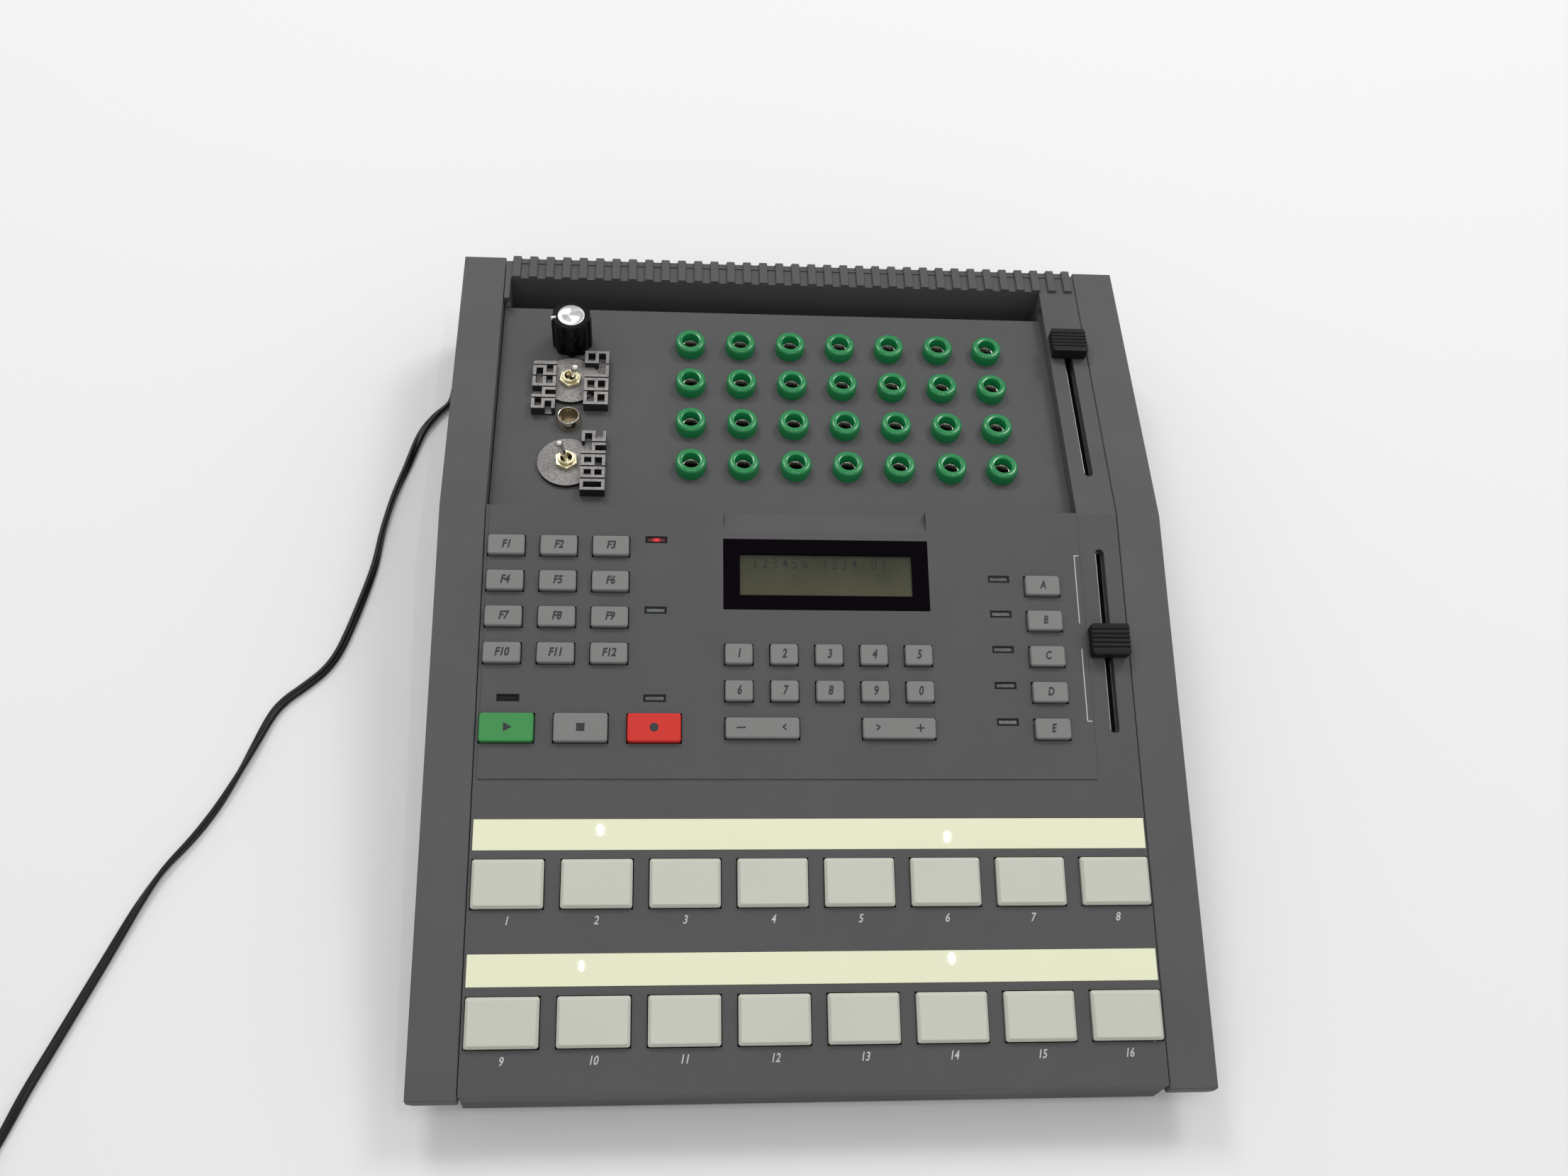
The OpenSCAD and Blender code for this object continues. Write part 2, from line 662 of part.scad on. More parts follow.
/* Faders */
track_w = 8.6;
track_ends = 14;
track_h = 8;
track_slit = 1.8;
module fader_body() {
    difference() {
        translate([0, 0, -skin - track_h / 2]) cube([track_w, slot_l + track_ends, track_h], center = true);
        translate([0, 0, 1.1 - skin - track_h / 2])
            cube([track_slit, slot_l - 2, track_h - 1], center = true);
    }
}
module fader_bodies() {
    color([0.6, 0.6, 0.58]) {
        on_front() translate([fader_at, front_len - fader_front_y, 0]) fader_body();
        on_rear() translate([fader_at, rear_fader_at, 0]) fader_body();
    }
}
module fader_cap() {
    difference() {
        translate([0, 0, 0.5]) linear_extrude(height = cap_h - 0.5) plate(cap_w, cap_l, 1);
        for (k = [-2:2]) translate([0, k * cap_l / 7, cap_h])
            cube([cap_w + 2, cap_l / 15, 1], center = true);
    }
    translate([0, 0, -2]) cube([1.2, 8, 6], center = true);
}
module front_fader_cap() {
    color([0.13, 0.1, 0.13]) on_front()
        translate([fader_at, front_len - fader_front_y + front_set, 0]) fader_cap();
}
module rear_fader_cap() {
    color([0.13, 0.1, 0.13]) on_rear() translate([fader_at, rear_fader_at + rear_set, 0]) fader_cap();
}

/* Knob, switches and sensor */
module knob_pot() {
    color([0.55, 0.55, 0.55]) on_floor() translate([control_at, knob_at, 0]) {
        translate([0, 0, -skin - 9]) cylinder(d = 17, h = 9);
        translate([0, 0, -skin - 1]) cylinder(d = 7, h = skin + 1.3);
        translate([0, 0, -skin - 1]) cylinder(d = shaft_d, h = skin + knob_h - 3);
    }
}
module knob() {
    color([0.03, 0.03, 0.035]) on_floor() translate([control_at, knob_at, 0.6]) difference() {
        union() {
            cylinder(d = knob_d, h = knob_h - 1);
            translate([0, 0, knob_h - 1]) cylinder(d1 = knob_d, d2 = knob_d - 1.6, h = 1);
        }
        for (k = [0:8]) rotate([0, 0, 40 * k + 10]) translate([knob_d / 2 + 2.2, 0, -1])
            cylinder(d = 6, h = knob_h + 2);
        translate([0, 0, -1]) cylinder(d = shaft_d + 0.1, h = knob_h - 2);
        translate([0, 0, knob_h - 0.8]) cylinder(d = insert_d + 0.1, h = 2);
    }
}
module knob_insert() {
    color([0.8, 0.8, 0.82]) on_floor() translate([control_at, knob_at, knob_h - 0.2])
        cylinder(d = insert_d, h = 0.85);
}
module at_toggle(upper) {
    on_floor() translate([control_at, upper ? upper_at : lower_at, 0]) children();
}
pivot_n = 2;
toggle_box = [8, 13, 10];
toggle_neck = 6;
module toggle_body() {
    difference() {
        union() {
            translate([0, 0, -skin - toggle_box[2] / 2]) cube(toggle_box, center = true);
            translate([0, 0, -skin - 1]) cylinder(d = toggle_neck, h = skin + 1 + plate_t + 3);
        }
        translate([0, 0, pivot_n]) cylinder(d1 = 3.4, d2 = 5.2, h = 4);
        translate([0, 0, pivot_n]) sphere(d = 3.4);
    }
}
module toggle_bodies() {
    color([0.6, 0.58, 0.5]) for (u = [true, false]) at_toggle(u) toggle_body();
}
module toggle_nuts() {
    color([0.75, 0.7, 0.5]) for (u = [true, false]) at_toggle(u) translate([0, 0, plate_t])
        rotate([0, 0, u ? 20 : 35]) difference() {
            cylinder(d = nut_af / cos(30), h = 1.9, $fn = 6);
            translate([0, 0, -1]) cylinder(d = 6.1, h = 4);
        }
}
// The lever leans towards the given side, seen from above
module lever(side) {
    translate([0, 0, pivot_n]) rotate([0, 0, side]) rotate([0, lever_lean, 0]) {
        sphere(d = 3);
        cylinder(d1 = 1.9, d2 = 2.7, h = lever_l - 1);
        translate([0, 0, lever_l - 1.1]) sphere(d = 2.9);
    }
}
module upper_toggle_lever() {
    color([0.7, 0.68, 0.6]) at_toggle(true) lever(-40);
}
module lower_toggle_lever() {
    color([0.7, 0.68, 0.6]) at_toggle(false) lever(150);
}
module sensor_bezel() {
    color([0.75, 0.74, 0.68]) on_floor() translate([control_at, sensor_at, 0]) difference() {
        union() {
            cylinder(d1 = 10.6, d2 = 8.5, h = 4.2);
            translate([0, 0, -skin - 2]) cylinder(d = bezel_hole - 1.2, h = skin + 2.2);
        }
        translate([0, 0, 0.4]) cylinder(d = bezel_hole, h = 5);
    }
}
// Seven bar figures: w wide, h tall, bars b wide
bars = [[1, 1, 1, 1, 1, 1, 0], [0, 1, 1, 0, 0, 0, 0], [1, 1, 0, 1, 1, 0, 1], [1, 1, 1, 1, 0, 0, 1],
    [0, 1, 1, 0, 0, 1, 1], [1, 0, 1, 1, 0, 1, 1], [1, 0, 1, 1, 1, 1, 1], [1, 1, 1, 0, 0, 0, 0],
    [1, 1, 1, 1, 1, 1, 1], [1, 1, 1, 1, 0, 1, 1]];
module figure(n, w, h, b) {
    s = bars[n];
    if (s[0]) translate([0, h - b]) square([w, b]);
    if (s[3]) square([w, b]);
    if (s[6]) translate([0, (h - b) / 2]) square([w, b]);
    if (s[1]) translate([w - b, h / 2 - b / 2]) square([b, h / 2 + b / 2]);
    if (s[2]) translate([w - b, 0]) square([b, h / 2 + b / 2]);
    if (s[4]) square([b, h / 2 + b / 2]);
    if (s[5]) translate([0, h / 2 - b / 2]) square([b, h / 2 + b / 2]);
}
// Raised figures that read from back to front, x0 to the left and y1 at the back
module figures(list, x0, y1, run, h) {
    step = run / len(list);
    translate([x0, y1, 0]) rotate([0, 0, -90]) {
        linear_extrude(height = figure_h) for (k = [0:len(list) - 1])
            translate([k * step + 0.3, 0]) figure(list[k], step - 0.6, h, 1.3);
        linear_extrude(height = 0.8) translate([0.3, 0.3]) square([run - 0.6, h - 0.6]);
    }
}
module disc(y) {
    translate([control_at, y, 0]) cylinder(d = plate_d, h = plate_t);
}
module upper_plate() {
    color([0.5, 0.48, 0.48]) on_floor() difference() {
        union() {
            disc(upper_at);
            figures([1, 2, 3, 4, 5], control_at - 14.7, upper_at + 11, 28, 9.2);
            figures([6, 7, 8, 9], control_at + 5.5, upper_at + 13.4, 28, 9.6);
        }
        translate([control_at, upper_at, -1]) cylinder(d = 6.3, h = 8);
    }
}
module lower_plate() {
    color([0.5, 0.48, 0.48]) on_floor() difference() {
        union() {
            disc(lower_at);
            figures([2, 4, 6, 8, 0], control_at + 5.5, lower_at + 13.6, 29, 9.4);
        }
        translate([control_at, lower_at, -1]) cylinder(d = 6.3, h = 8);
    }
}

/* Patch sockets */
module all_sockets() {
    on_floor() for (i = [0:socket_cols - 1], j = [0:socket_rows - 1])
        translate(socket_at(i, j)) children();
}
module jack_collars() {
    color([0.1, 0.5, 0.3]) all_sockets() difference() {
        union() {
            cylinder(d = collar_d, h = collar_h - 0.7);
            translate([0, 0, collar_h - 0.7]) cylinder(d1 = collar_d, d2 = collar_d - 1.4, h = 0.7);
            translate([0, 0, -skin - 6]) cylinder(d = stem_d, h = skin + 7);
        }
        translate([0, 0, -skin - 7]) cylinder(d = collar_hole, h = skin + collar_h + 9);
    }
}
module jack_sockets() {
    color([0.7, 0.68, 0.62]) all_sockets() difference() {
        union() {
            translate([0, 0, -skin - 12]) cylinder(d = socket_od, h = skin + 12 + collar_h - 2.6);
            translate([0, 0, -skin - 7.4]) cylinder(d = stem_d, h = 1.4);
        }
        translate([0, 0, -skin - 10.5]) cylinder(d = plug_d, h = skin + 12 + collar_h);
    }
}

/* Rear connectors */
inlet_x = 21.3 - mid_w;
rocker_x = inlet_x + 24;
din_xs = [rocker_x + 28, rocker_x + 52];
jack_xs = [for (i = [0:jack_count - 1]) 12 + i * jack_pitch];
// Turned so that a connector points out through the rear wall
module at_rear(x) {
    translate([x, y_panel, connector_h]) rotate([-90, 0, 0]) children();
}
jack_box = [15, 16, 20];
jack_neck = 9;
jack_nut = 14;
jack_nut_t = 2.2;
jack_end = 1.5;
module output_jacks() {
    color([0.55, 0.55, 0.55]) for (x = jack_xs) at_rear(x) difference() {
        union() {
            translate([-jack_box[0] / 2, -jack_box[1] / 2, -wall - jack_box[2]]) cube(jack_box);
            translate([0, 0, -wall - 1]) cylinder(d = jack_neck, h = wall + 2 * jack_nut_t);
            cylinder(d = jack_nut, h = jack_nut_t, $fn = 6);
        }
        translate([0, 0, jack_end - wall - jack_box[2]]) cylinder(d = jack_d, h = wall + 2 * jack_box[2]);
    }
}
module midi_sockets() {
    color([0.1, 0.1, 0.1]) for (x = din_xs) at_rear(x) difference() {
        union() {
            cylinder(d = din_d + 2.6, h = 1.2);
            translate([0, 0, -13]) cylinder(d = din_d, h = 13.5);
        }
        translate([0, 0, -7]) cylinder(d = din_d - 2, h = 20);
        for (a = [0:45:180]) rotate([0, 0, a]) translate([3.75, 0, -12]) cylinder(d = 1.5, h = 9);
    }
}
module power_inlet() {
    color([0.08, 0.08, 0.08]) at_rear(inlet_x) {
        difference() {
            union() {
                cylinder(d = 12, h = 1);
                translate([0, 0, -12.5]) cylinder(d = 10, h = 13);
            }
            translate([0, 0, -10]) cylinder(d = 5.6, h = 20);
        }
        translate([0, 0, -11]) cylinder(d = 2, h = 10);
    }
}
module power_rocker() {
    w = rocker_w / 2 - 1.1;
    color([0.05, 0.05, 0.05]) translate([rocker_x, y_panel - wall / 2, connector_h])
        rotate([0, 0, rocker_tilt]) {
            translate([0, 0, -rocker_h / 2 + 0.3]) linear_extrude(height = rocker_h - 0.6)
                polygon([[-w, 3.2], [0, 1.9], [w, 3.2], [w - 2, -3.4], [2 - w, -3.4]]);
            cylinder(d = 1.6, h = rocker_h + 2, center = true);
        }
}

/* Power cord */
// The route lies on the table, in the frame of the whole machine
plug_out = 1 + 14 + 5;
coil_out = coil_in + coil_turns * coil_pitch;
coil_c = [-310, -236];
cord_z = cord_d / 2;
route = [[inlet_x, y_panel + plug_out, connector_h], [inlet_x, y_panel + plug_out + cord_d, connector_h],
    [-98.6, 188.5, 15.6], [-101, 192.5, 12], [-105.5, 195.2, 7.6], [-112, 196, 4], [-119.5, 195, 2.3],
    [-127, 191, 1.7], [-133, 184.5, 1.7],
    [-137, 176.5, 1.7], [-139.5, 167, 1.7], [-141, 157, 1.7], [-142.5, 146, 1.7], [-143.8, 136, 1.7],
    [-145.2, 127, 1.7], [-151, 119.5, 1.7], [-156, 110, 1.7], [-160.3, 94, 1.7], [-164.6, 78.5, 1.7],
    [-167.4, 62.5, 1.7], [-169, 46.5, 1.7], [-172, 32, 1.7], [-176, 16.5, 1.7], [-179.5, 6, 1.7],
    [-184, -1.5, 1.7], [-190.5, -8, 1.7], [-196.5, -13.5, 1.7], [-201, -20, 1.7], [-206, -33, 1.7],
    [-211, -46, 1.7], [-216.5, -58, 1.7], [-223, -69, 1.7], [-231.5, -81, 1.7], [-237.5, -93, 1.7],
    [-242, -104, 1.7], [-247, -116.5, 1.7], [-252.5, -130, 1.7], [-258, -143.5, 1.7],
    [-263.5, -157, 1.7], [-268, -170, 1.7], [-273, -184, 1.7], [-277, -198, 1.7], [-279.6, -212, 1.7],
    [coil_c[0] + coil_out, -224, cord_z], [coil_c[0] + coil_out, coil_c[1] + cord_d, cord_z]];
function unit(v) = v / norm(v);
function heading(p, i) = unit(p[min(i + 1, len(p) - 1)] - p[max(i - 1, 0)]);
// A ring of n points about p, square to d, with its first side kept level
function ring(p, d, r, n) =
    let (u = unit(cross(d, abs(d[2]) > 0.9 ? [1, 0, 0] : [0, 0, 1])), v = cross(u, d))
    [for (k = [0:n - 1]) p + r * (cos(360 * k / n) * v + sin(360 * k / n) * u)];
module sweep(p, r, n) {
    m = len(p);
    pts = [for (i = [0:m - 1]) each ring(p[i], heading(p, i), r, n)];
    sides = [for (i = [0:m - 2], k = [0:n - 1]) each let (a = i * n + k, b = i * n + (k + 1) % n)
        [[a, b, b + n], [a, b + n, a + n]]];
    ends = [for (k = [1:n - 2]) each [[0, k + 1, k], [(m - 1) * n, (m - 1) * n + k, (m - 1) * n + k + 1]]];
    polyhedron(points = pts, faces = concat(sides, ends), convexity = 10);
}
module power_cord() {
    color([0.06, 0.06, 0.06]) sweep(route, cord_z, 8);
}
// Turn t of the coil, from 0 at the outer end of the lower layer
rings = 24;
turns = 2 * coil_turns + 0.5;
layer = coil_pitch;
function coil_r(t) = coil_in + coil_pitch * abs(t - turns / 2) - coil_pitch * 0.25;
function ramp(x) = x < 0 ? 0 : x > 1 ? 1 : x * x * (3 - 2 * x);
function coil_z(t) = cord_z + layer * ramp((t - turns / 2 + 0.25) / 0.5);
function coil_p(t) = [coil_c[0] + coil_r(t) * cos(-360 * t), coil_c[1] + coil_r(t) * sin(-360 * t),
    coil_z(t)];
coil_mid = [for (i = [0:turns * rings]) coil_p(i / rings)];
coil_last = coil_mid[len(coil_mid) - 1];
coil_tail = 12;
coil_path = concat([coil_mid[0] + [0, cord_d, 0]], coil_mid,
    [coil_last + [0, 6, 0], coil_last + [0, coil_tail, 0]]);
function run(p) = [for (i = 0, s = 0; i < len(p); i = i + 1,
    s = s + (i < len(p) ? norm(p[i] - p[i - 1]) : 0)) s];
coil_gap = min([for (i = [0:len(coil_mid) - 1]) min(concat([1000], [for (j = [i + 16:len(coil_mid) - 1])
    norm(coil_mid[i] - coil_mid[j])]))]) - cord_d;
cord_len = run(route)[len(route) - 1] + run(coil_path)[len(coil_path) - 1];
echo(coil_gap = coil_gap, cord_length = cord_len);
module cord_coil() {
    color([0.06, 0.06, 0.06]) sweep(coil_path, cord_z, 6);
}
module barrel_plug() {
    color([0.05, 0.05, 0.05]) at_rear(inlet_x) difference() {
        union() {
            translate([0, 0, -8.6]) cylinder(d = 5.46, h = 10);
            translate([0, 0, 1]) cylinder(d = 9.6, h = 14);
            translate([0, 0, 15]) cylinder(d1 = 7, d2 = 5, h = 5);
        }
        translate([0, 0, -9]) cylinder(d = 2.16, h = 9);
    }
}
adapter = [50, 70, 32];
relief_l = 16;
blade = [1.5, 17, 6.4];
blade_apart = 12.7;
module mains_adapter() {
    end = coil_last + [0, coil_tail, 0];
    x0 = end[0] - adapter[0] + 6;
    y0 = end[1] + relief_l;
    color([0.05, 0.05, 0.05]) {
        translate(end) rotate([-90, 0, 0]) cylinder(d1 = 5, d2 = 7, h = relief_l + 0.5);
        difference() {
            block(x0, x0 + adapter[0], y0, y0 + adapter[1], 0, adapter[2]);
            block(x0 + 6, x0 + adapter[0] - 6, y0 + 12, y0 + adapter[1] - 12,
                adapter[2] - 0.3, adapter[2] + 1);
        }
        for (s = [-1, 1])
            translate([x0 + adapter[0] / 2 + s * blade_apart / 2, y0 + adapter[1], adapter[2] / 2])
                block(-blade[0] / 2, blade[0] / 2, -2, blade[1], -blade[2] / 2, blade[2] / 2);
    }
}

bottom_case();
top_case();
left_cheek();
right_cheek();
circuit_board();
display_window();
lcd_module();
label_strips();
indicator_lenses();
pad(1);  // pad_1
pad(2);  // pad_2
pad(3);  // pad_3
pad(4);  // pad_4
pad(5);  // pad_5
pad(6);  // pad_6
pad(7);  // pad_7
pad(8);  // pad_8
pad(9);  // pad_9
pad(10);  // pad_10
pad(11);  // pad_11
pad(12);  // pad_12
pad(13);  // pad_13
pad(14);  // pad_14
pad(15);  // pad_15
pad(16);  // pad_16
function_keys(-1);  // function_keys_left
function_keys(0);  // function_keys_middle
function_keys(1);  // function_keys_right
transport_key(-1, [0.3, 0.7, 0.35]);  // play_key
transport_key(0, [0.62, 0.62, 0.62]);  // stop_key
transport_key(1, [0.95, 0.25, 0.2]);  // record_key
number_keys(3);  // number_keys_upper
number_keys(4);  // number_keys_lower
cursor_keys();
select_keys();
fader_bodies();
front_fader_cap();
rear_fader_cap();
knob_pot();
knob();
knob_insert();
toggle_bodies();
toggle_nuts();
upper_toggle_lever();
lower_toggle_lever();
sensor_bezel();
upper_plate();
lower_plate();
jack_collars();
jack_sockets();
output_jacks();
midi_sockets();
power_inlet();
power_rocker();
rubber_feet();
case_screws();
power_cord();
cord_coil();
barrel_plug();
mains_adapter();
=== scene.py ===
import math

import bpy
from mathutils import Euler, Matrix, Vector


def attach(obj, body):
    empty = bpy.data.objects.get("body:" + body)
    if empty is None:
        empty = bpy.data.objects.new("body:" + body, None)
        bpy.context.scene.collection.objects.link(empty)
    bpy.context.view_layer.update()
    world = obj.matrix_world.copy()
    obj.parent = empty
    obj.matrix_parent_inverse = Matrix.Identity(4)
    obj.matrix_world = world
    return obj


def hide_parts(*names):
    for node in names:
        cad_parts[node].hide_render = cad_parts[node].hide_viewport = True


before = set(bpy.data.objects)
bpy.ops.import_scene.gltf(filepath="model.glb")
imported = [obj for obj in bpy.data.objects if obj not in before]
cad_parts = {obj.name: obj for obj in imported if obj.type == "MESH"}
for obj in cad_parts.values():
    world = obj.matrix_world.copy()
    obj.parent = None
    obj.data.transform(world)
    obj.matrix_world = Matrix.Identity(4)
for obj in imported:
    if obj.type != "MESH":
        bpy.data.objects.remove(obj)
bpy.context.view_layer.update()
print("packed model loaded")

# where things are: slopes in degrees, the front panel in metres, and the recess floor in millimetres
# out of the rear panel
machine = {"frontTilt": 10.0, "rearFall": 3.7, "frontLength": 0.2085, "frontHeight": 0.022,
           "frontEdge": -0.1651441, "recessFloor": -6}
tilt = math.radians(machine["frontTilt"])
fall = math.radians(machine["rearFall"])
ridge = (machine["frontEdge"] + machine["frontLength"] * math.cos(tilt),
         machine["frontHeight"] + machine["frontLength"] * math.sin(tilt))


def onFront(x, y, n):  # millimetres on the front panel: right, up the slope, out of it
    x, y, n = x / 1000, y / 1000, n / 1000
    return Vector((x, machine["frontEdge"] + y * math.cos(tilt) - n * math.sin(tilt),
                   machine["frontHeight"] + y * math.sin(tilt) + n * math.cos(tilt)))


def onRear(x, y, n):  # millimetres on the rear panel, y back from the ridge
    x, y, n = x / 1000, y / 1000, n / 1000
    return Vector((x, ridge[0] + y * math.cos(fall) + n * math.sin(fall),
                   ridge[1] - y * math.sin(fall) + n * math.cos(fall)))


frontTurn = Euler((tilt, 0, 0))
rearTurn = Euler((-fall, 0, 0))

# camera
view = {"place": (-0.056363, -0.264151, 0.547029), "axis": (0.08342, 0.48254, -0.87189),
        "up": (-0.01066, 0.87533, 0.48342), "lens": 35.152}
bpy.ops.object.camera_add(location=view["place"])
camera = bpy.context.object
axis = Vector(view["axis"]).normalized()
right = axis.cross(Vector(view["up"])).normalized()
upward = right.cross(axis)
camera.rotation_euler = Matrix((right, upward, -axis)).transposed().to_euler()
camera.data.sensor_width = 36
camera.data.lens = view["lens"]
camera.data.clip_start = 0.01
bpy.context.scene.camera = camera


# tools that every piece uses: angles in degrees, distances in metres
shaping = {"smoothBelow": 35, "latheSmoothBelow": 40, "flatWithin": 1.0, "facesUp": 0.9, "tallEdge": 0.001,
           "closeLine": 0.000001, "closeLathe": 0.000002, "mergeCopy": 0.000005}


def only(piece):
    bpy.ops.object.select_all(action="DESELECT")
    piece.select_set(True)
    bpy.context.view_layer.objects.active = piece


def pick(piece, kind, test):  # opens the piece for editing, with the faces or edges that pass selected
    only(piece)
    bpy.ops.object.mode_set(mode="EDIT")
    bpy.ops.mesh.select_mode(type=kind)
    bpy.ops.mesh.select_all(action="DESELECT")
    bpy.ops.object.mode_set(mode="OBJECT")
    mesh = piece.data
    if kind == "FACE":
        for face in mesh.polygons:
            face.select = test(face.center, face.normal)
    else:
        for edge in mesh.edges:
            a, b = (mesh.vertices[k].co for k in edge.vertices)
            edge.select = test(a, b)
    bpy.ops.object.mode_set(mode="EDIT")


def leave():
    bpy.ops.object.mode_set(mode="OBJECT")


def box(name, size, middle):
    bpy.ops.object.select_all(action="DESELECT")
    bpy.ops.mesh.primitive_cube_add(size=1, location=[c / 1000 for c in middle])
    piece = bpy.context.object
    piece.name = name
    piece.scale = [c / 1000 for c in size]
    bpy.ops.object.transform_apply(location=True, rotation=True, scale=True)
    return piece


def lay(piece, place, turn):  # puts a finished piece in its place, and its place in its mesh
    only(piece)
    piece.location = place
    piece.rotation_euler = turn
    bpy.ops.object.transform_apply(location=True, rotation=True, scale=True)
    return piece


def copyOf(piece, name):
    only(piece)
    bpy.ops.object.duplicate(linked=False)
    bpy.context.object.name = name
    return bpy.context.object


def joined(pieces, name):
    bpy.ops.object.select_all(action="DESELECT")
    for piece in pieces:
        piece.select_set(True)
    bpy.context.view_layer.objects.active = pieces[0]
    if len(pieces) > 1:
        bpy.ops.object.join()
    pieces[0].name = name
    return pieces[0]


def rounded(piece, width, steps=2, angle=25):
    only(piece)
    bevel = piece.modifiers.new("edges", "BEVEL")
    bevel.width = width / 1000
    bevel.segments = steps
    bevel.limit_method = "ANGLE"
    bevel.angle_limit = math.radians(angle)
    bevel.harden_normals = False
    bpy.ops.object.modifier_apply(modifier=bevel.name)
    bpy.ops.object.shade_smooth_by_angle(angle=math.radians(shaping["smoothBelow"]))
    # keeps flat faces flat beside their eased edges
    weigh = piece.modifiers.new("normals", "WEIGHTED_NORMAL")
    weigh.keep_sharp = True
    bpy.ops.object.modifier_apply(modifier=weigh.name)
    return piece


def turned(name, line, steps):  # a lathe: radius and height pairs in millimetres, spun about Z
    bpy.ops.object.select_all(action="DESELECT")
    bpy.ops.mesh.primitive_plane_add(size=0.0004)
    piece = bpy.context.object
    piece.name = name
    bpy.ops.object.mode_set(mode="EDIT")
    bpy.ops.mesh.select_mode(type="VERT")
    bpy.ops.mesh.select_all(action="SELECT")
    bpy.ops.mesh.merge(type="CENTER")
    bpy.ops.transform.translate(value=(line[0][0] / 1000, 0, line[0][1] / 1000))
    for (r0, z0), (r1, z1) in zip(line, line[1:]):
        step = ((r1 - r0) / 1000, 0, (z1 - z0) / 1000)
        bpy.ops.mesh.extrude_vertices_move(TRANSFORM_OT_translate={"value": step})
    bpy.ops.mesh.select_all(action="SELECT")
    bpy.ops.mesh.remove_doubles(threshold=shaping["closeLine"])
    bpy.ops.mesh.spin(steps=steps, angle=math.tau, center=(0, 0, 0), axis=(0, 0, 1))
    bpy.ops.mesh.select_all(action="SELECT")
    bpy.ops.mesh.remove_doubles(threshold=shaping["closeLathe"])
    bpy.ops.mesh.normals_make_consistent(inside=False)
    leave()
    bpy.ops.object.shade_smooth_by_angle(angle=math.radians(shaping["latheSmoothBelow"]))
    return piece


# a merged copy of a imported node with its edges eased
def softened(node, name, width, steps=2, angle=25, body="case"):
    copy = copyOf(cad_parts[node], name)
    for key in list(copy.keys()):
        del copy[key]
    bpy.ops.object.mode_set(mode="EDIT")
    bpy.ops.mesh.select_all(action="SELECT")
    bpy.ops.mesh.remove_doubles(threshold=shaping["mergeCopy"])
    bpy.ops.mesh.dissolve_limited(angle_limit=math.radians(shaping["flatWithin"]))
    leave()
    rounded(copy, width, steps, angle)
    finish(copy, body, [node])
    return copy


def paint(piece, *looks):
    piece.data.materials.clear()
    for look in looks:
        piece.data.materials.append(look)
    return piece


def finish(piece, body, nodes=()):
    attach(piece, body)
    if nodes:
        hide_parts(*nodes)


def legend(text, size, middle, look, lean=0.22, narrow=0.72, fat=0.0, lift=0.02):
    bpy.ops.object.select_all(action="DESELECT")
    bpy.ops.object.text_add(location=(0, 0, 0))
    sign = bpy.context.object
    sign.data.body = text
    sign.data.size = size / 1000
    sign.data.shear = lean
    sign.data.offset = fat / 1000
    sign.data.align_x = "CENTER"
    sign.data.align_y = "CENTER"
    sign.data.resolution_u = 3
    sign.data.extrude = 0.000006  # just thick enough to be a solid film of ink
    bpy.ops.object.convert(target="MESH")
    sign = bpy.context.object
    sign.scale = (narrow, 1, 1)
    bpy.ops.object.transform_apply(location=False, rotation=False, scale=True)
    sign.location = (middle[0] / 1000, middle[1] / 1000, (middle[2] + lift) / 1000)
    bpy.ops.object.transform_apply(location=True, rotation=True, scale=True)
    return paint(sign, look)


# finishes
def feed(links, socket, value):  # a link from another node, or a plain value
    if isinstance(value, bpy.types.NodeSocket):
        links.new(value, socket)
    else:
        socket.default_value = value


def newGroup(name, inputs, outputs):
    group = bpy.data.node_groups.new(name, "ShaderNodeTree")
    for label, kind, value in inputs:
        socket = group.interface.new_socket(label, in_out="INPUT", socket_type=kind)
        socket.default_value = value
    for label, kind in outputs:
        group.interface.new_socket(label, in_out="OUTPUT", socket_type=kind)
    tree = group.nodes
    return group, tree, group.links, tree.new("NodeGroupInput"), tree.new("NodeGroupOutput")


def mixColour(tree, links, factor, first, second):
    node = tree.new("ShaderNodeMix")
    node.data_type = "RGBA"
    for socket, value in ((node.inputs[0], factor), (node.inputs[6], first), (node.inputs[7], second)):
        feed(links, socket, value)
    return node.outputs[2]


def noise(tree, links, where, scale, detail, rough):
    node = tree.new("ShaderNodeTexNoise")
    links.new(where, node.inputs["Vector"])
    feed(links, node.inputs["Scale"], scale)
    node.inputs["Detail"].default_value = detail
    node.inputs["Roughness"].default_value = rough
    return node.outputs["Fac"]


def maths(tree, links, kind, first, second, clamp=False):
    node = tree.new("ShaderNodeMath")
    node.operation = kind
    node.use_clamp = clamp
    feed(links, node.inputs[0], first)
    feed(links, node.inputs[1], second)
    return node.outputs[0]


def spread(tree, links, value, low, high, toLow, toHigh):
    node = tree.new("ShaderNodeMapRange")
    links.new(value, node.inputs["Value"])
    node.inputs["From Min"].default_value = low
    node.inputs["From Max"].default_value = high
    feed(links, node.inputs["To Min"], toLow)
    feed(links, node.inputs["To Max"], toHigh)
    return node.outputs["Result"]


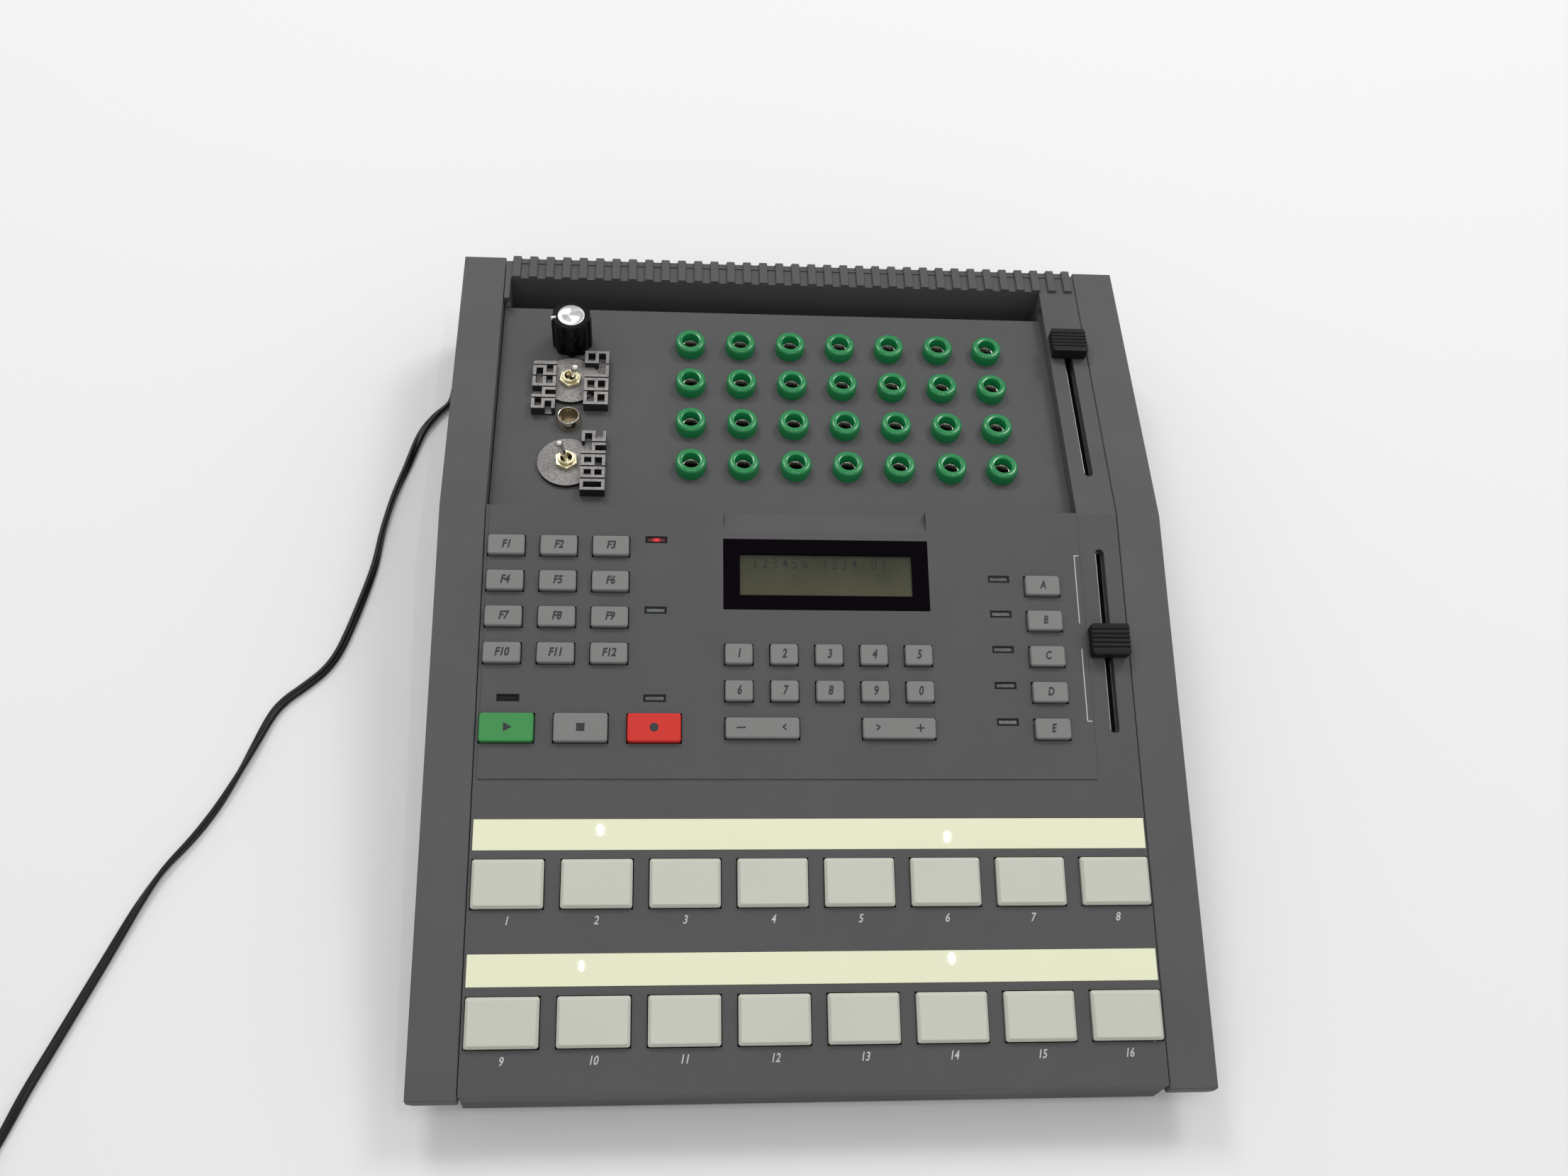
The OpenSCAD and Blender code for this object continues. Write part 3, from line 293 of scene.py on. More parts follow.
# moulded plastic: mottled colour, handling marks in the gloss, and a spark eroded grain
skin, tree, links, given, put = newGroup(
    "mouldedSkin",
    [("Colour", "NodeSocketColor", (0.5, 0.5, 0.5, 1)), ("Mottle", "NodeSocketFloat", 0.06),
     ("Gloss low", "NodeSocketFloat", 0.4), ("Gloss high", "NodeSocketFloat", 0.55),
     ("Grain size", "NodeSocketFloat", 2600.0), ("Grain depth", "NodeSocketFloat", 0.25)],
    [("Colour", "NodeSocketColor"), ("Roughness", "NodeSocketFloat"), ("Normal", "NodeSocketVector")])
where = tree.new("ShaderNodeTexCoord").outputs["Object"]
cloud = noise(tree, links, where, 38.0, 5, 0.6)
speck = noise(tree, links, where, 900.0, 2, 0.6)
both = maths(tree, links, "ADD", maths(tree, links, "MULTIPLY", cloud, 0.65),
             maths(tree, links, "MULTIPLY", speck, 0.35))
shift = spread(tree, links, both, 0.3, 0.7, -1.0, 1.0)
gain = maths(tree, links, "ADD", maths(tree, links, "MULTIPLY", shift, given.outputs["Mottle"]), 1.0)
scaled = tree.new("ShaderNodeVectorMath")
scaled.operation = "SCALE"
links.new(given.outputs["Colour"], scaled.inputs[0])
links.new(gain, scaled.inputs["Scale"])
links.new(scaled.outputs["Vector"], put.inputs["Colour"])
smear = noise(tree, links, where, 22.0, 6, 0.65)
dull = spread(tree, links, smear, 0.35, 0.68, given.outputs["Gloss low"], given.outputs["Gloss high"])
links.new(dull, put.inputs["Roughness"])
grain = noise(tree, links, where, given.outputs["Grain size"], 2, 0.6)
bump = tree.new("ShaderNodeBump")
bump.inputs["Distance"].default_value = 0.00005
links.new(grain, bump.inputs["Height"])
links.new(given.outputs["Grain depth"], bump.inputs["Strength"])
links.new(bump.outputs["Normal"], put.inputs["Normal"])

# worked metal: tarnish in clouds, and a fine grain
metalSkin, tree, links, given, put = newGroup(
    "workedMetal",
    [("Colour", "NodeSocketColor", (0.6, 0.6, 0.6, 1)), ("Tarnish", "NodeSocketColor", (0.3, 0.25, 0.15, 1)),
     ("Gloss low", "NodeSocketFloat", 0.15), ("Gloss high", "NodeSocketFloat", 0.35)],
    [("Colour", "NodeSocketColor"), ("Roughness", "NodeSocketFloat"), ("Normal", "NodeSocketVector")])
where = tree.new("ShaderNodeTexCoord").outputs["Object"]
cloud = noise(tree, links, where, 160.0, 4, 0.6)
links.new(mixColour(tree, links, spread(tree, links, cloud, 0.45, 0.75, 0.0, 0.6), given.outputs["Colour"],
                    given.outputs["Tarnish"]), put.inputs["Colour"])
dull = spread(tree, links, cloud, 0.3, 0.7, given.outputs["Gloss low"], given.outputs["Gloss high"])
links.new(dull, put.inputs["Roughness"])
grain = noise(tree, links, where, 1800.0, 2, 0.5)
bump = tree.new("ShaderNodeBump")
bump.inputs["Distance"].default_value = 0.00002
bump.inputs["Strength"].default_value = 0.12
links.new(grain, bump.inputs["Height"])
links.new(bump.outputs["Normal"], put.inputs["Normal"])


def blank(name):
    look = bpy.data.materials.new(name)
    look.use_nodes = True
    look.node_tree.nodes.clear()
    out = look.node_tree.nodes.new("ShaderNodeOutputMaterial")
    shader = look.node_tree.nodes.new("ShaderNodeBsdfPrincipled")
    look.node_tree.links.new(shader.outputs[0], out.inputs["Surface"])
    return look, look.node_tree.nodes, look.node_tree.links, shader


def useGroup(tree, links, group, shader, values):
    node = tree.new("ShaderNodeGroup")
    node.node_tree = group
    for label, value in values.items():
        node.inputs[label].default_value = value
    links.new(node.outputs["Colour"], shader.inputs["Base Color"])
    links.new(node.outputs["Roughness"], shader.inputs["Roughness"])
    links.new(node.outputs["Normal"], shader.inputs["Normal"])
    return node


def moulded(name, colour, mottle, gloss, grain, coat=0.0, shine=0.5):
    look, tree, links, shader = blank(name)
    values = {"Colour": (*colour, 1), "Mottle": mottle, "Gloss low": gloss[0], "Gloss high": gloss[1],
              "Grain size": grain[0], "Grain depth": grain[1]}
    useGroup(tree, links, skin, shader, values)
    shader.inputs["Coat Weight"].default_value = coat
    shader.inputs["Coat Roughness"].default_value = 0.08
    shader.inputs["Specular IOR Level"].default_value = shine
    return look


def metal(name, colour, tarnish, gloss):
    look, tree, links, shader = blank(name)
    useGroup(tree, links, metalSkin, shader, {"Colour": (*colour, 1), "Tarnish": (*tarnish, 1),
                                              "Gloss low": gloss[0], "Gloss high": gloss[1]})
    shader.inputs["Metallic"].default_value = 1.0
    return look


# each look: colour, mottle or tarnish, least and most roughness, then the grain's size and depth
looks = {
    "case": moulded("caseGrey", (0.084, 0.0835, 0.086), 0.05, (0.55, 0.7), (2400, 0.35), shine=0.25),
    "cheek": moulded("cheekGrey", (0.09, 0.0895, 0.092), 0.05, (0.55, 0.7), (2400, 0.35), shine=0.25),
    "base": moulded("baseGrey", (0.075, 0.075, 0.077), 0.05, (0.58, 0.7), (2400, 0.35), shine=0.25),
    "pad": moulded("padCream", (0.555, 0.558, 0.485), 0.02, (0.4, 0.5), (1900, 0.16)),
    "key": moulded("keyGrey", (0.194, 0.2, 0.192), 0.03, (0.45, 0.58), (2600, 0.15), shine=0.35),
    "green": moulded("keyGreen", (0.048, 0.267, 0.071), 0.03, (0.45, 0.58), (2600, 0.15), shine=0.3),
    "red": moulded("keyRed", (0.608, 0.0245, 0.0165), 0.03, (0.45, 0.58), (2600, 0.15), shine=0.3),
    "strip": moulded("stripPale", (0.81, 0.822, 0.598), 0.012, (0.01, 0.016), (300, 0.01), shine=0.1),
    "window": moulded("windowBlack", (0.0022, 0.0008, 0.0025), 0.2, (0.1, 0.16), (400, 0.02), shine=0.04),
    "ink": moulded("keyInk", (0.012, 0.0135, 0.0155), 0.2, (0.5, 0.6), (3000, 0.05)),
    "paleInk": moulded("paleInk", (0.5, 0.5, 0.48), 0.1, (0.5, 0.6), (3000, 0.05)),
    "frame": moulded("lensFrame", (0.003, 0.003, 0.0035), 0.2, (0.4, 0.5), (2600, 0.1), shine=0.2),
    "lens": moulded("lensSmoke", (0.11, 0.125, 0.11), 0.8, (0.12, 0.2), (700, 0.1), coat=0.3),
    "fader": moulded("faderDark", (0.0085, 0.0068, 0.009), 0.15, (0.38, 0.5), (2400, 0.3), shine=0.18),
    "knob": moulded("knobBlack", (0.0022, 0.0021, 0.0024), 0.2, (0.16, 0.26), (1500, 0.05), shine=0.16),
    "white": moulded("pointerWhite", (0.75, 0.75, 0.7), 0.05, (0.4, 0.5), (2400, 0.1)),
    "collar": moulded("collarGreen", (0.006, 0.215, 0.06), 0.05, (0.16, 0.26), (900, 0.04), coat=0.2),
    "black": moulded("connectorBlack", (0.012, 0.012, 0.013), 0.15, (0.4, 0.5), (2200, 0.2)),
    "rubber": moulded("rubberBlack", (0.014, 0.014, 0.015), 0.2, (0.7, 0.85), (1500, 0.4)),
    "cord": moulded("cordBlack", (0.004, 0.004, 0.005), 0.2, (0.32, 0.45), (1200, 0.08), shine=0.3),
    "board": moulded("boardGreen", (0.012, 0.07, 0.028), 0.2, (0.25, 0.4), (500, 0.1)),
    "steel": metal("bareSteel", (0.42, 0.42, 0.41), (0.2, 0.19, 0.17), (0.25, 0.42)),
    "darkSteel": metal("darkSteel", (0.1, 0.1, 0.1), (0.03, 0.03, 0.03), (0.3, 0.5)),
    "lever": metal("leverNickel", (0.78, 0.77, 0.73), (0.45, 0.4, 0.3), (0.1, 0.2)),
    "nut": metal("nutBrass", (0.76, 0.7, 0.5), (0.48, 0.42, 0.26), (0.14, 0.28)),
    "bezel": metal("bezelNickel", (0.66, 0.62, 0.52), (0.4, 0.33, 0.2), (0.12, 0.22)),
    "well": metal("wellBrass", (0.15, 0.12, 0.075), (0.06, 0.045, 0.025), (0.3, 0.45)),
    "contact": metal("contactNickel", (0.28, 0.27, 0.25), (0.07, 0.055, 0.04), (0.18, 0.32)),
}


# the plate's own grey and pits where it faces up, with painted shade down the sides of the figures: the near
# black side colour stands in for the shade on faces that turn away from the light
plate = {"grey": (0.275, 0.262, 0.255, 1), "side": (0.012, 0.011, 0.012, 1), "pit": (0.1, 0.094, 0.09, 1),
         "pitSize": 1150.0, "relief": 0.7, "reliefDepth": 0.0003}


def printedPlate():
    look, tree, links, shader = blank("plateGreyAndPaintedShade")
    group = useGroup(tree, links, skin, shader, {"Colour": plate["grey"], "Mottle": 0.35, "Gloss low": 0.6,
                                                 "Gloss high": 0.75, "Grain size": 700.0, "Grain depth": 1.0})
    place = tree.new("ShaderNodeTexCoord")
    parts = tree.new("ShaderNodeSeparateXYZ")
    links.new(place.outputs["Normal"], parts.inputs[0])
    up = spread(tree, links, parts.outputs["Z"], 0.3, 0.8, 0.0, 1.0)
    pits = noise(tree, links, place.outputs["Object"], plate["pitSize"], 2, 0.55)
    inPit = spread(tree, links, pits, 0.36, 0.5, 0.55, 0.0)
    worn = mixColour(tree, links, inPit, group.outputs["Colour"], plate["pit"])
    # painted shade: faces that don't point up get the near black side colour instead of the grey
    links.new(mixColour(tree, links, up, plate["side"], worn), shader.inputs["Base Color"])
    relief = tree.new("ShaderNodeBump")
    relief.inputs["Strength"].default_value = plate["relief"]
    relief.inputs["Distance"].default_value = plate["reliefDepth"]
    links.new(pits, relief.inputs["Height"])
    links.new(group.outputs["Normal"], relief.inputs["Normal"])
    links.new(relief.outputs["Normal"], shader.inputs["Normal"])
    return look


# circular tool marks, which give the bright wedges
brushed = {"map": "round", "rings": 100, "marks": (2, 160, 1), "roughness": (0.2, 0.25), "stretch": 0.95,
           "dark": (0.7, 0.71, 0.73, 1), "light": (0.8, 0.81, 0.82, 1)}


def brushedDisc():
    look, tree, links, shader = blank("discAluminium")
    ringMap = tree.new("ShaderNodeUVMap")
    ringMap.uv_map = brushed["map"]
    marks = tree.new("ShaderNodeMapping")
    marks.inputs["Scale"].default_value = brushed["marks"]
    links.new(ringMap.outputs["UV"], marks.inputs["Vector"])
    rings = noise(tree, links, marks.outputs["Vector"], 1.0, 2, 0.5)
    links.new(mixColour(tree, links, rings, brushed["dark"], brushed["light"]), shader.inputs["Base Color"])
    links.new(spread(tree, links, rings, 0.3, 0.7, *brushed["roughness"]), shader.inputs["Roughness"])
    shader.inputs["Metallic"].default_value = 1.0
    shader.inputs["Anisotropic"].default_value = brushed["stretch"]
    around = tree.new("ShaderNodeTangent")
    around.direction_type = "UV_MAP"
    around.uv_map = brushed["map"]
    links.new(around.outputs["Tangent"], shader.inputs["Tangent"])
    return look


# an olive liquid crystal field, with painted shade: darker towards its top edge, standing in for the shadow
# of the window frame
display = {"bottom": 173.5, "top": 190.5, "dark": (0.033, 0.035, 0.021, 1), "light": (0.078, 0.079, 0.046, 1)}


def displayGlass():
    look, tree, links, shader = blank("displayOlive")
    place = tree.new("ShaderNodeTexCoord").outputs["Object"]
    cloud = noise(tree, links, place, 45.0, 3, 0.5)
    parts = tree.new("ShaderNodeSeparateXYZ")
    links.new(place, parts.inputs[0])
    low, high = onFront(0, display["bottom"], 0).y, onFront(0, display["top"], 0).y
    # painted shadow of the window frame, fading down from the top edge, plus a little mottle
    shade = maths(tree, links, "ADD", spread(tree, links, parts.outputs["Y"], low, high, 0.85, 0.1),
                  spread(tree, links, cloud, 0.3, 0.7, -0.15, 0.15), clamp=True)
    links.new(mixColour(tree, links, shade, display["dark"], display["light"]), shader.inputs["Base Color"])
    links.new(spread(tree, links, cloud, 0.3, 0.7, 0.22, 0.34), shader.inputs["Roughness"])
    shader.inputs["Specular IOR Level"].default_value = 0.2
    return look


# the one lens that is lit, brightest at its middle
lit = {"at": (-56.35, 195.5), "height": 0.3, "glow": (0.0002, 0.0018), "strength": 0.6,
       "edge": (0.075, 0.012, 0.014, 1), "middle": (0.4, 0.02, 0.03, 1),
       "edgeGlow": (0.02, 0.0, 0.0, 1), "middleGlow": (1.0, 0.03, 0.05, 1)}


def litLens():
    look, tree, links, shader = blank("lensLit")
    place = tree.new("ShaderNodeTexCoord").outputs["Object"]
    centred = tree.new("ShaderNodeMapping")
    centred.inputs["Location"].default_value = -onFront(*lit["at"], lit["height"])
    links.new(place, centred.inputs["Vector"])
    reach = tree.new("ShaderNodeVectorMath")
    reach.operation = "LENGTH"
    links.new(centred.outputs["Vector"], reach.inputs[0])
    glow = spread(tree, links, reach.outputs["Value"], *lit["glow"], 1.0, 0.0)
    links.new(mixColour(tree, links, glow, lit["edge"], lit["middle"]), shader.inputs["Base Color"])
    shine = mixColour(tree, links, glow, lit["edgeGlow"], lit["middleGlow"])
    links.new(shine, shader.inputs["Emission Color"])
    shader.inputs["Emission Strength"].default_value = lit["strength"]
    shader.inputs["Roughness"].default_value = 0.2
    return look


looks["plate"] = printedPlate()
looks["disc"] = brushedDisc()
looks["display"] = displayGlass()
looks["lit"] = litLens()

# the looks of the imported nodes
carried = {
    "top_case": "case", "bottom_case": "base", "circuit_board": "board", "fader_bodies": "darkSteel",
    "knob_pot": "steel", "toggle_bodies": "nut", "jack_sockets": "contact", "output_jacks": "steel",
    "midi_sockets": "black", "power_inlet": "black", "rubber_feet": "rubber", "case_screws": "steel",
    "lcd_module": "display", "label_strips": "strip", "display_window": "window", "upper_plate": "plate",
    "lower_plate": "plate", "barrel_plug": "black", "mains_adapter": "black", "left_cheek": "cheek",
    "right_cheek": "cheek"}
for node, look in carried.items():
    paint(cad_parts[node], looks[look])
print("finishes made")

# the cord: a flat twin lead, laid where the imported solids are; in millimetres, but for its length
# and width in metres
cord = {"core": 1.0, "apart": 0.7, "length": 1.787, "width": 0.0034, "middle": 1.7, "smoothBelow": 50,
        "coilAt": (-310, -236), "coilIn": 10, "turnGap": 3.9, "turns": 10.5, "ringPoints": 24, "tail": 12,
        "climb": 0.5, "wrap": 250, "sidePoints": 10, "lean": ((1.3, 24, 0), (0.5, 61, 1)),
        "route": [(-98, 180.43, 17), (-98, 183.83, 17), (-98.6, 188.5, 15.6), (-101, 192.5, 12),
                  (-105.5, 195.2, 7.6), (-112, 196, 4), (-119.5, 195, 2.3), (-127, 191, 1.7),
                  (-133, 184.5, 1.7), (-137, 176.5, 1.7), (-139.5, 167, 1.7), (-141, 157, 1.7),
                  (-142.5, 146, 1.7), (-143.8, 136, 1.7), (-145.2, 127, 1.7), (-151, 119.5, 1.7),
                  (-156, 110, 1.7), (-160.3, 94, 1.7), (-164.6, 78.5, 1.7), (-167.4, 62.5, 1.7),
                  (-169, 46.5, 1.7), (-172, 32, 1.7), (-176, 16.5, 1.7), (-179.5, 6, 1.7),
                  (-184, -1.5, 1.7), (-190.5, -8, 1.7), (-196.5, -13.5, 1.7), (-201, -20, 1.7),
                  (-206, -33, 1.7), (-211, -46, 1.7), (-216.5, -58, 1.7), (-223, -69, 1.7),
                  (-231.5, -81, 1.7), (-237.5, -93, 1.7), (-242, -104, 1.7), (-247, -116.5, 1.7),
                  (-252.5, -130, 1.7), (-258, -143.5, 1.7), (-263.5, -157, 1.7), (-268, -170, 1.7),
                  (-273, -184, 1.7), (-277, -198, 1.7), (-279.6, -212, 1.7), (-280.5, -224, 1.7),
                  (-280.5, -232.6, 1.7)]}


def easedStep(x):
    x = min(max(x, 0), 1)
    return x * x * (3 - 2 * x)


def coilPoint(t):  # inwards on the floor, then outwards one layer up, with a short climb at the middle
    past = t - cord["turns"] / 2
    reach = cord["coilIn"] + cord["turnGap"] * abs(past) - cord["turnGap"] * cord["climb"] / 2
    height = cord["middle"] + cord["turnGap"] * easedStep((past + cord["climb"] / 2) / cord["climb"])
    angle = -math.tau * t
    x, y = cord["coilAt"]
    return Vector((x + reach * math.cos(angle), y + reach * math.sin(angle), height))


def between(a, b, c, d, t):  # a smooth step from b to c
    bend = (2 * a - 5 * b + 4 * c - d) * t * t
    return 0.5 * (2 * b + (c - a) * t + bend + (3 * b - 3 * c + d - a) * t * t * t)


knots = [Vector(p) for p in cord["route"]]
line = []
for i in range(len(knots) - 1):
    a, b, c, d = (knots[max(i - 1, 0)], knots[i], knots[i + 1], knots[min(i + 2, len(knots) - 1)])
    line += [between(a, b, c, d, k / 4) for k in range(4)]
line.append(knots[-1])
last = coilPoint(cord["turns"])
line += [coilPoint(i / cord["ringPoints"]) for i in range(int(cord["turns"] * cord["ringPoints"]) + 1)]
line += [last + Vector((0, cord["tail"] / 2, 0)), last + Vector((0, cord["tail"], 0))]
line = [p / 1000 for p in line]

bpy.ops.object.select_all(action="DESELECT")
bpy.ops.curve.primitive_bezier_circle_add(radius=cord["core"] / 1000)
section = bpy.context.object
section.name = "leadSection"
section.data.dimensions = "2D"
section.data.splines.clear()
outlineRun = section.data.splines.new("POLY")
outlineRun.points.add(2 * cord["sidePoints"] - 1)
for k in range(2 * cord["sidePoints"]):  # the outline of two round cores side by side
    side = 1 if k < cord["sidePoints"] else -1
    share = (k % cord["sidePoints"]) / (cord["sidePoints"] - 1)
    angle = math.radians(cord["wrap"] * (share - 0.5)) + (0 if side > 0 else math.pi)
    outlineRun.points[k].co = ((side * cord["apart"] + cord["core"] * math.cos(angle)) / 1000,
                               cord["core"] * math.sin(angle) / 1000, 0, 1)
outlineRun.use_cyclic_u = True
bpy.ops.curve.primitive_bezier_curve_add()
lead = bpy.context.object
lead.name = "powerLead"
lead.location = (0, 0, 0)
lead.data.dimensions = "3D"
lead.data.twist_mode = "Z_UP"
lead.data.splines.clear()
run = lead.data.splines.new("POLY")
run.points.add(len(line) - 1)
gone = 0
for k, p in enumerate(line):
    gone += (p - line[k - 1]).length if k else 0
    run.points[k].co = (*p, 1)
    run.points[k].tilt = sum(much * math.sin(gone * often + start) for much, often, start in cord["lean"])
lead.data.bevel_mode = "OBJECT"
lead.data.bevel_object = section
lead.data.use_fill_caps = True
only(lead)
bpy.ops.object.convert(target="MESH")
lead = bpy.context.object
bpy.ops.object.shade_smooth_by_angle(angle=math.radians(cord["smoothBelow"]))
bpy.data.objects.remove(section)
paint(lead, looks["cord"])
finish(lead, "case", ["power_cord", "cord_coil"])

print("cord laid")

# pads
pads = {"width": 24.5, "length": 16.7, "top": 2.2, "corner": 0.9, "slope": 1.0, "ease": 0.2,
        "count": 16, "perRow": 8, "pitch": 30.32, "rowPitch": 45.75, "x": 0.3, "y": 23.2,
        "numberDrop": 12.4, "numberSize": 4.1, "numberFat": 0.06, "numberLean": 0.25, "numberNarrow": 0.8}
capDeep = 6  # how far a pad or key reaches below the panel


def cap(name, width, length, sizes, look):  # a pad or key, with slopes round its top
    top, slope = sizes["top"], sizes["slope"]
    piece = box(name, (width, length, top + capDeep - slope), (0, 0, (top - slope - capDeep) / 2))
    pick(piece, "EDGE", lambda a, b: abs(a.z - b.z) > shaping["tallEdge"])
    bpy.ops.mesh.bevel(offset=sizes["corner"] / 1000, segments=4, affect="EDGES")
    leave()
    pick(piece, "FACE", lambda c, n: n.z > shaping["facesUp"])
    bpy.ops.mesh.extrude_region_move(TRANSFORM_OT_translate={"value": (0, 0, slope / 1000)})
    bpy.ops.transform.resize(value=(1 - 2 * slope / width, 1 - 2 * slope / length, 1),
                             center_override=(0, 0, top / 1000))
    leave()
    rounded(piece, sizes["ease"], 3)
    return paint(piece, look)


printed = []  # everything printed on the panels, joined at the end
padCap = cap("padCap", pads["width"], pads["length"], pads, looks["pad"])
for number in range(1, pads["count"] + 1):
    across, up = (number - 1) % pads["perRow"], 0 if number > pads["perRow"] else 1
    x = pads["x"] + (across - (pads["perRow"] - 1) / 2) * pads["pitch"]
    y = pads["y"] + up * pads["rowPitch"]
    piece = lay(copyOf(padCap, "trigger%d" % number), onFront(x, y, 0), frontTurn)
    finish(piece, "trigger_%d" % number, ["pad_%d" % number])
    figure = legend(str(number), pads["numberSize"], (0, 0, 0), looks["paleInk"], pads["numberLean"],
                    pads["numberNarrow"], pads["numberFat"])
    printed.append(lay(figure, onFront(x, y - pads["numberDrop"], 0.0), frontTurn))
bpy.data.objects.remove(padCap)
print("pads placed")

# keys, each row or column one piece that presses together
keys = {"top": 2.45, "corner": 0.95, "slope": 0.4, "ease": 0.2, "length": 7.6,
        "row": 13.75, "firstRow": 192.4, "lastRow": 5,
        "letter": 4.3, "digit": 4.7, "fat": 0.165, "film": 0.02, "filmAt": 0.012,
        "function": {"x": -92.1, "pitch": 19.1, "width": 13.4, "rows": 4},
        "transport": {"x": -82.45, "pitch": 26, "width": 19.1, "length": 10.4},
        "number": {"x": 6.9, "pitch": 16.5, "width": 10.05, "row": 3},
        "cursor": {"aside": 24.7, "width": 26.5, "arrow": 4.4, "stroke": 0.6, "minus": 3.3, "plus": 2.9,
                   "minusAt": -7.7, "leftAt": 7.8, "rightAt": -7.7, "plusAt": 7.6},
        "select": {"x": 88, "width": 13.0}}


def rowAt(r):
    return keys["firstRow"] - r * keys["row"]


def key(x, row, group, look, marks):
    piece = cap("key", group["width"], group.get("length", keys["length"]), keys, look)
    return lay(joined([piece] + marks, "key"), onFront(x, rowAt(row), 0), frontTurn)


def letters(text, x=0.0, size=keys["letter"], **more):
    return legend(text, size, (x, 0, keys["top"]), looks["ink"], fat=keys["fat"], lift=0.01, **more)


def arrow(sign, x):
    return letters(sign, x, keys["cursor"]["arrow"], lean=0.0, narrow=0.6)


def symbol(corners, radius, turnBy=0.0):
    bpy.ops.object.select_all(action="DESELECT")
    height = (keys["top"] + keys["filmAt"]) / 1000
    bpy.ops.mesh.primitive_circle_add(vertices=corners, radius=radius / 1000, fill_type="NGON",
                                      rotation=(0, 0, turnBy), location=(0, 0, height))
    piece = bpy.context.object
    bpy.ops.object.transform_apply(location=True, rotation=True, scale=True)
    return paint(piece, looks["ink"])


def bar(width, length, x):
    piece = box("bar", (width, length, keys["film"]), (x, 0, keys["top"] + keys["filmAt"]))
    return paint(piece, looks["ink"])


group = keys["function"]
for c, column in enumerate(("left", "middle", "right")):
    x = group["x"] + (c - 1) * group["pitch"]
    made = [key(x, r, group, looks["key"], [letters("F%d" % (r * 3 + c + 1), narrow=0.8)])
            for r in range(group["rows"])]
    made = joined(made, "functionKeys" + column.title())
    finish(made, "function_" + column, ["function_keys_" + column])

group = keys["transport"]
transport = (("play", "playKey", "green", "key_green", (3, 2.0, -math.pi / 2)),
             ("stop", "stopKey", "key", "key_grey", (4, 2.1, math.pi / 4)),
             ("record", "recordKey", "red", "key_red", (32, 1.6)))
for c, (body, name, look, part, sign) in enumerate(transport):
    piece = key(group["x"] + (c - 1) * group["pitch"], keys["lastRow"], group, looks[look], [symbol(*sign)])
    piece.name = name
    finish(piece, body, [body + "_key"])

group = keys["number"]
for r, (body, digits) in enumerate((("upper", "12345"), ("lower", "67890"))):
    made = [key(group["x"] + (c - 2) * group["pitch"], group["row"] + r, group, looks["key"],
                [letters(digit, size=keys["digit"])]) for c, digit in enumerate(digits)]
    finish(joined(made, "numberKeys" + body.title()), "numbers_" + body, ["number_keys_" + body])

pair = keys["cursor"]
minus = [bar(pair["minus"], pair["stroke"], pair["minusAt"]), arrow("<", pair["leftAt"])]
made = [key(group["x"] - pair["aside"], keys["lastRow"], pair, looks["key"], minus)]
plus = [arrow(">", pair["rightAt"]), bar(pair["plus"], pair["stroke"], pair["plusAt"]),
        bar(pair["stroke"], pair["plus"], pair["plusAt"])]
made.append(key(group["x"] + pair["aside"], keys["lastRow"], pair, looks["key"], plus))
finish(joined(made, "cursorKeys"), "cursors", ["cursor_keys"])

group = keys["select"]
made = [key(group["x"], 1 + r, group, looks["key"], [letters(letter)]) for r, letter in enumerate("ABCDE")]
finish(joined(made, "selectKeys"), "selects", ["select_keys"])
print("keys placed")

# indicator lenses in their dark frames
lenses = {"size": (7.9, 2.6), "rim": 0.55, "top": 0.4, "deep": 2.4, "sunk": 0.7,
          "pane": 0.5, "paneAt": -0.05, "paneEase": 0.2, "paneTop": 0.0001,
          "at": [lit["at"], (-56.35, 168.0), (-108.4, 134.8), (-56.35, 134.8)]
          + [(71.75, rowAt(r) + 2.8) for r in range(1, 6)],
          "looks": {0: "lit", 2: "frame"}}  # the first is lit, the third is dark, and the rest are smoked
inner = [side - 2 * lenses["rim"] for side in lenses["size"]]
frames, bars = [], []
for k, (x, y) in enumerate(lenses["at"]):
    rim = box("lensFrame", (*lenses["size"], lenses["deep"]), (0, 0, lenses["top"] - lenses["deep"] / 2))
    pick(rim, "FACE", lambda c, n: n.z > shaping["facesUp"])
    bpy.ops.mesh.inset(thickness=lenses["rim"] / 1000)
    bpy.ops.mesh.extrude_region_move(TRANSFORM_OT_translate={"value": (0, 0, -lenses["sunk"] / 1000)})
    leave()
    frames.append(lay(paint(rim, looks["frame"]), onFront(x, y, 0), frontTurn))
    pane = box("lensBar", (*inner, lenses["pane"]), (0, 0, lenses["paneAt"]))
    pick(pane, "EDGE", lambda a, b: min(a.z, b.z) > lenses["paneTop"])
    bpy.ops.mesh.bevel(offset=lenses["paneEase"] / 1000, segments=2, affect="EDGES")
    leave()
    paint(pane, looks[lenses["looks"].get(k, "lens")])
    bars.append(lay(pane, onFront(x, y, 0), frontTurn))
finish(joined(frames, "lensFrames"), "case", ["indicator_lenses"])
finish(joined(bars, "lensBars"), "case", [])

# the bracket beside the select keys
bracket = {"x": 101.4, "ends": (126.9, 191.2), "gap": (154.4, 164.3), "line": 0.36, "tick": 1.9, "lift": 0.47}


def stroke(name, width, length, x, y):
    piece = paint(box(name, (width, length, keys["film"]), (0, 0, 0)), looks["paleInk"])
    printed.append(lay(piece, onFront(x, y, bracket["lift"]), frontTurn))


for low, high in zip((bracket["ends"][0], bracket["gap"][1]), (bracket["gap"][0], bracket["ends"][1])):
    stroke("line", bracket["line"], high - low, bracket["x"], (low + high) / 2)
tickAt = bracket["x"] + bracket["tick"] / 2 - bracket["line"] / 2
for y in bracket["ends"]:
    stroke("tick", bracket["tick"], bracket["line"], tickAt, y)
finish(joined(printed, "panelPrint"), "case", [])

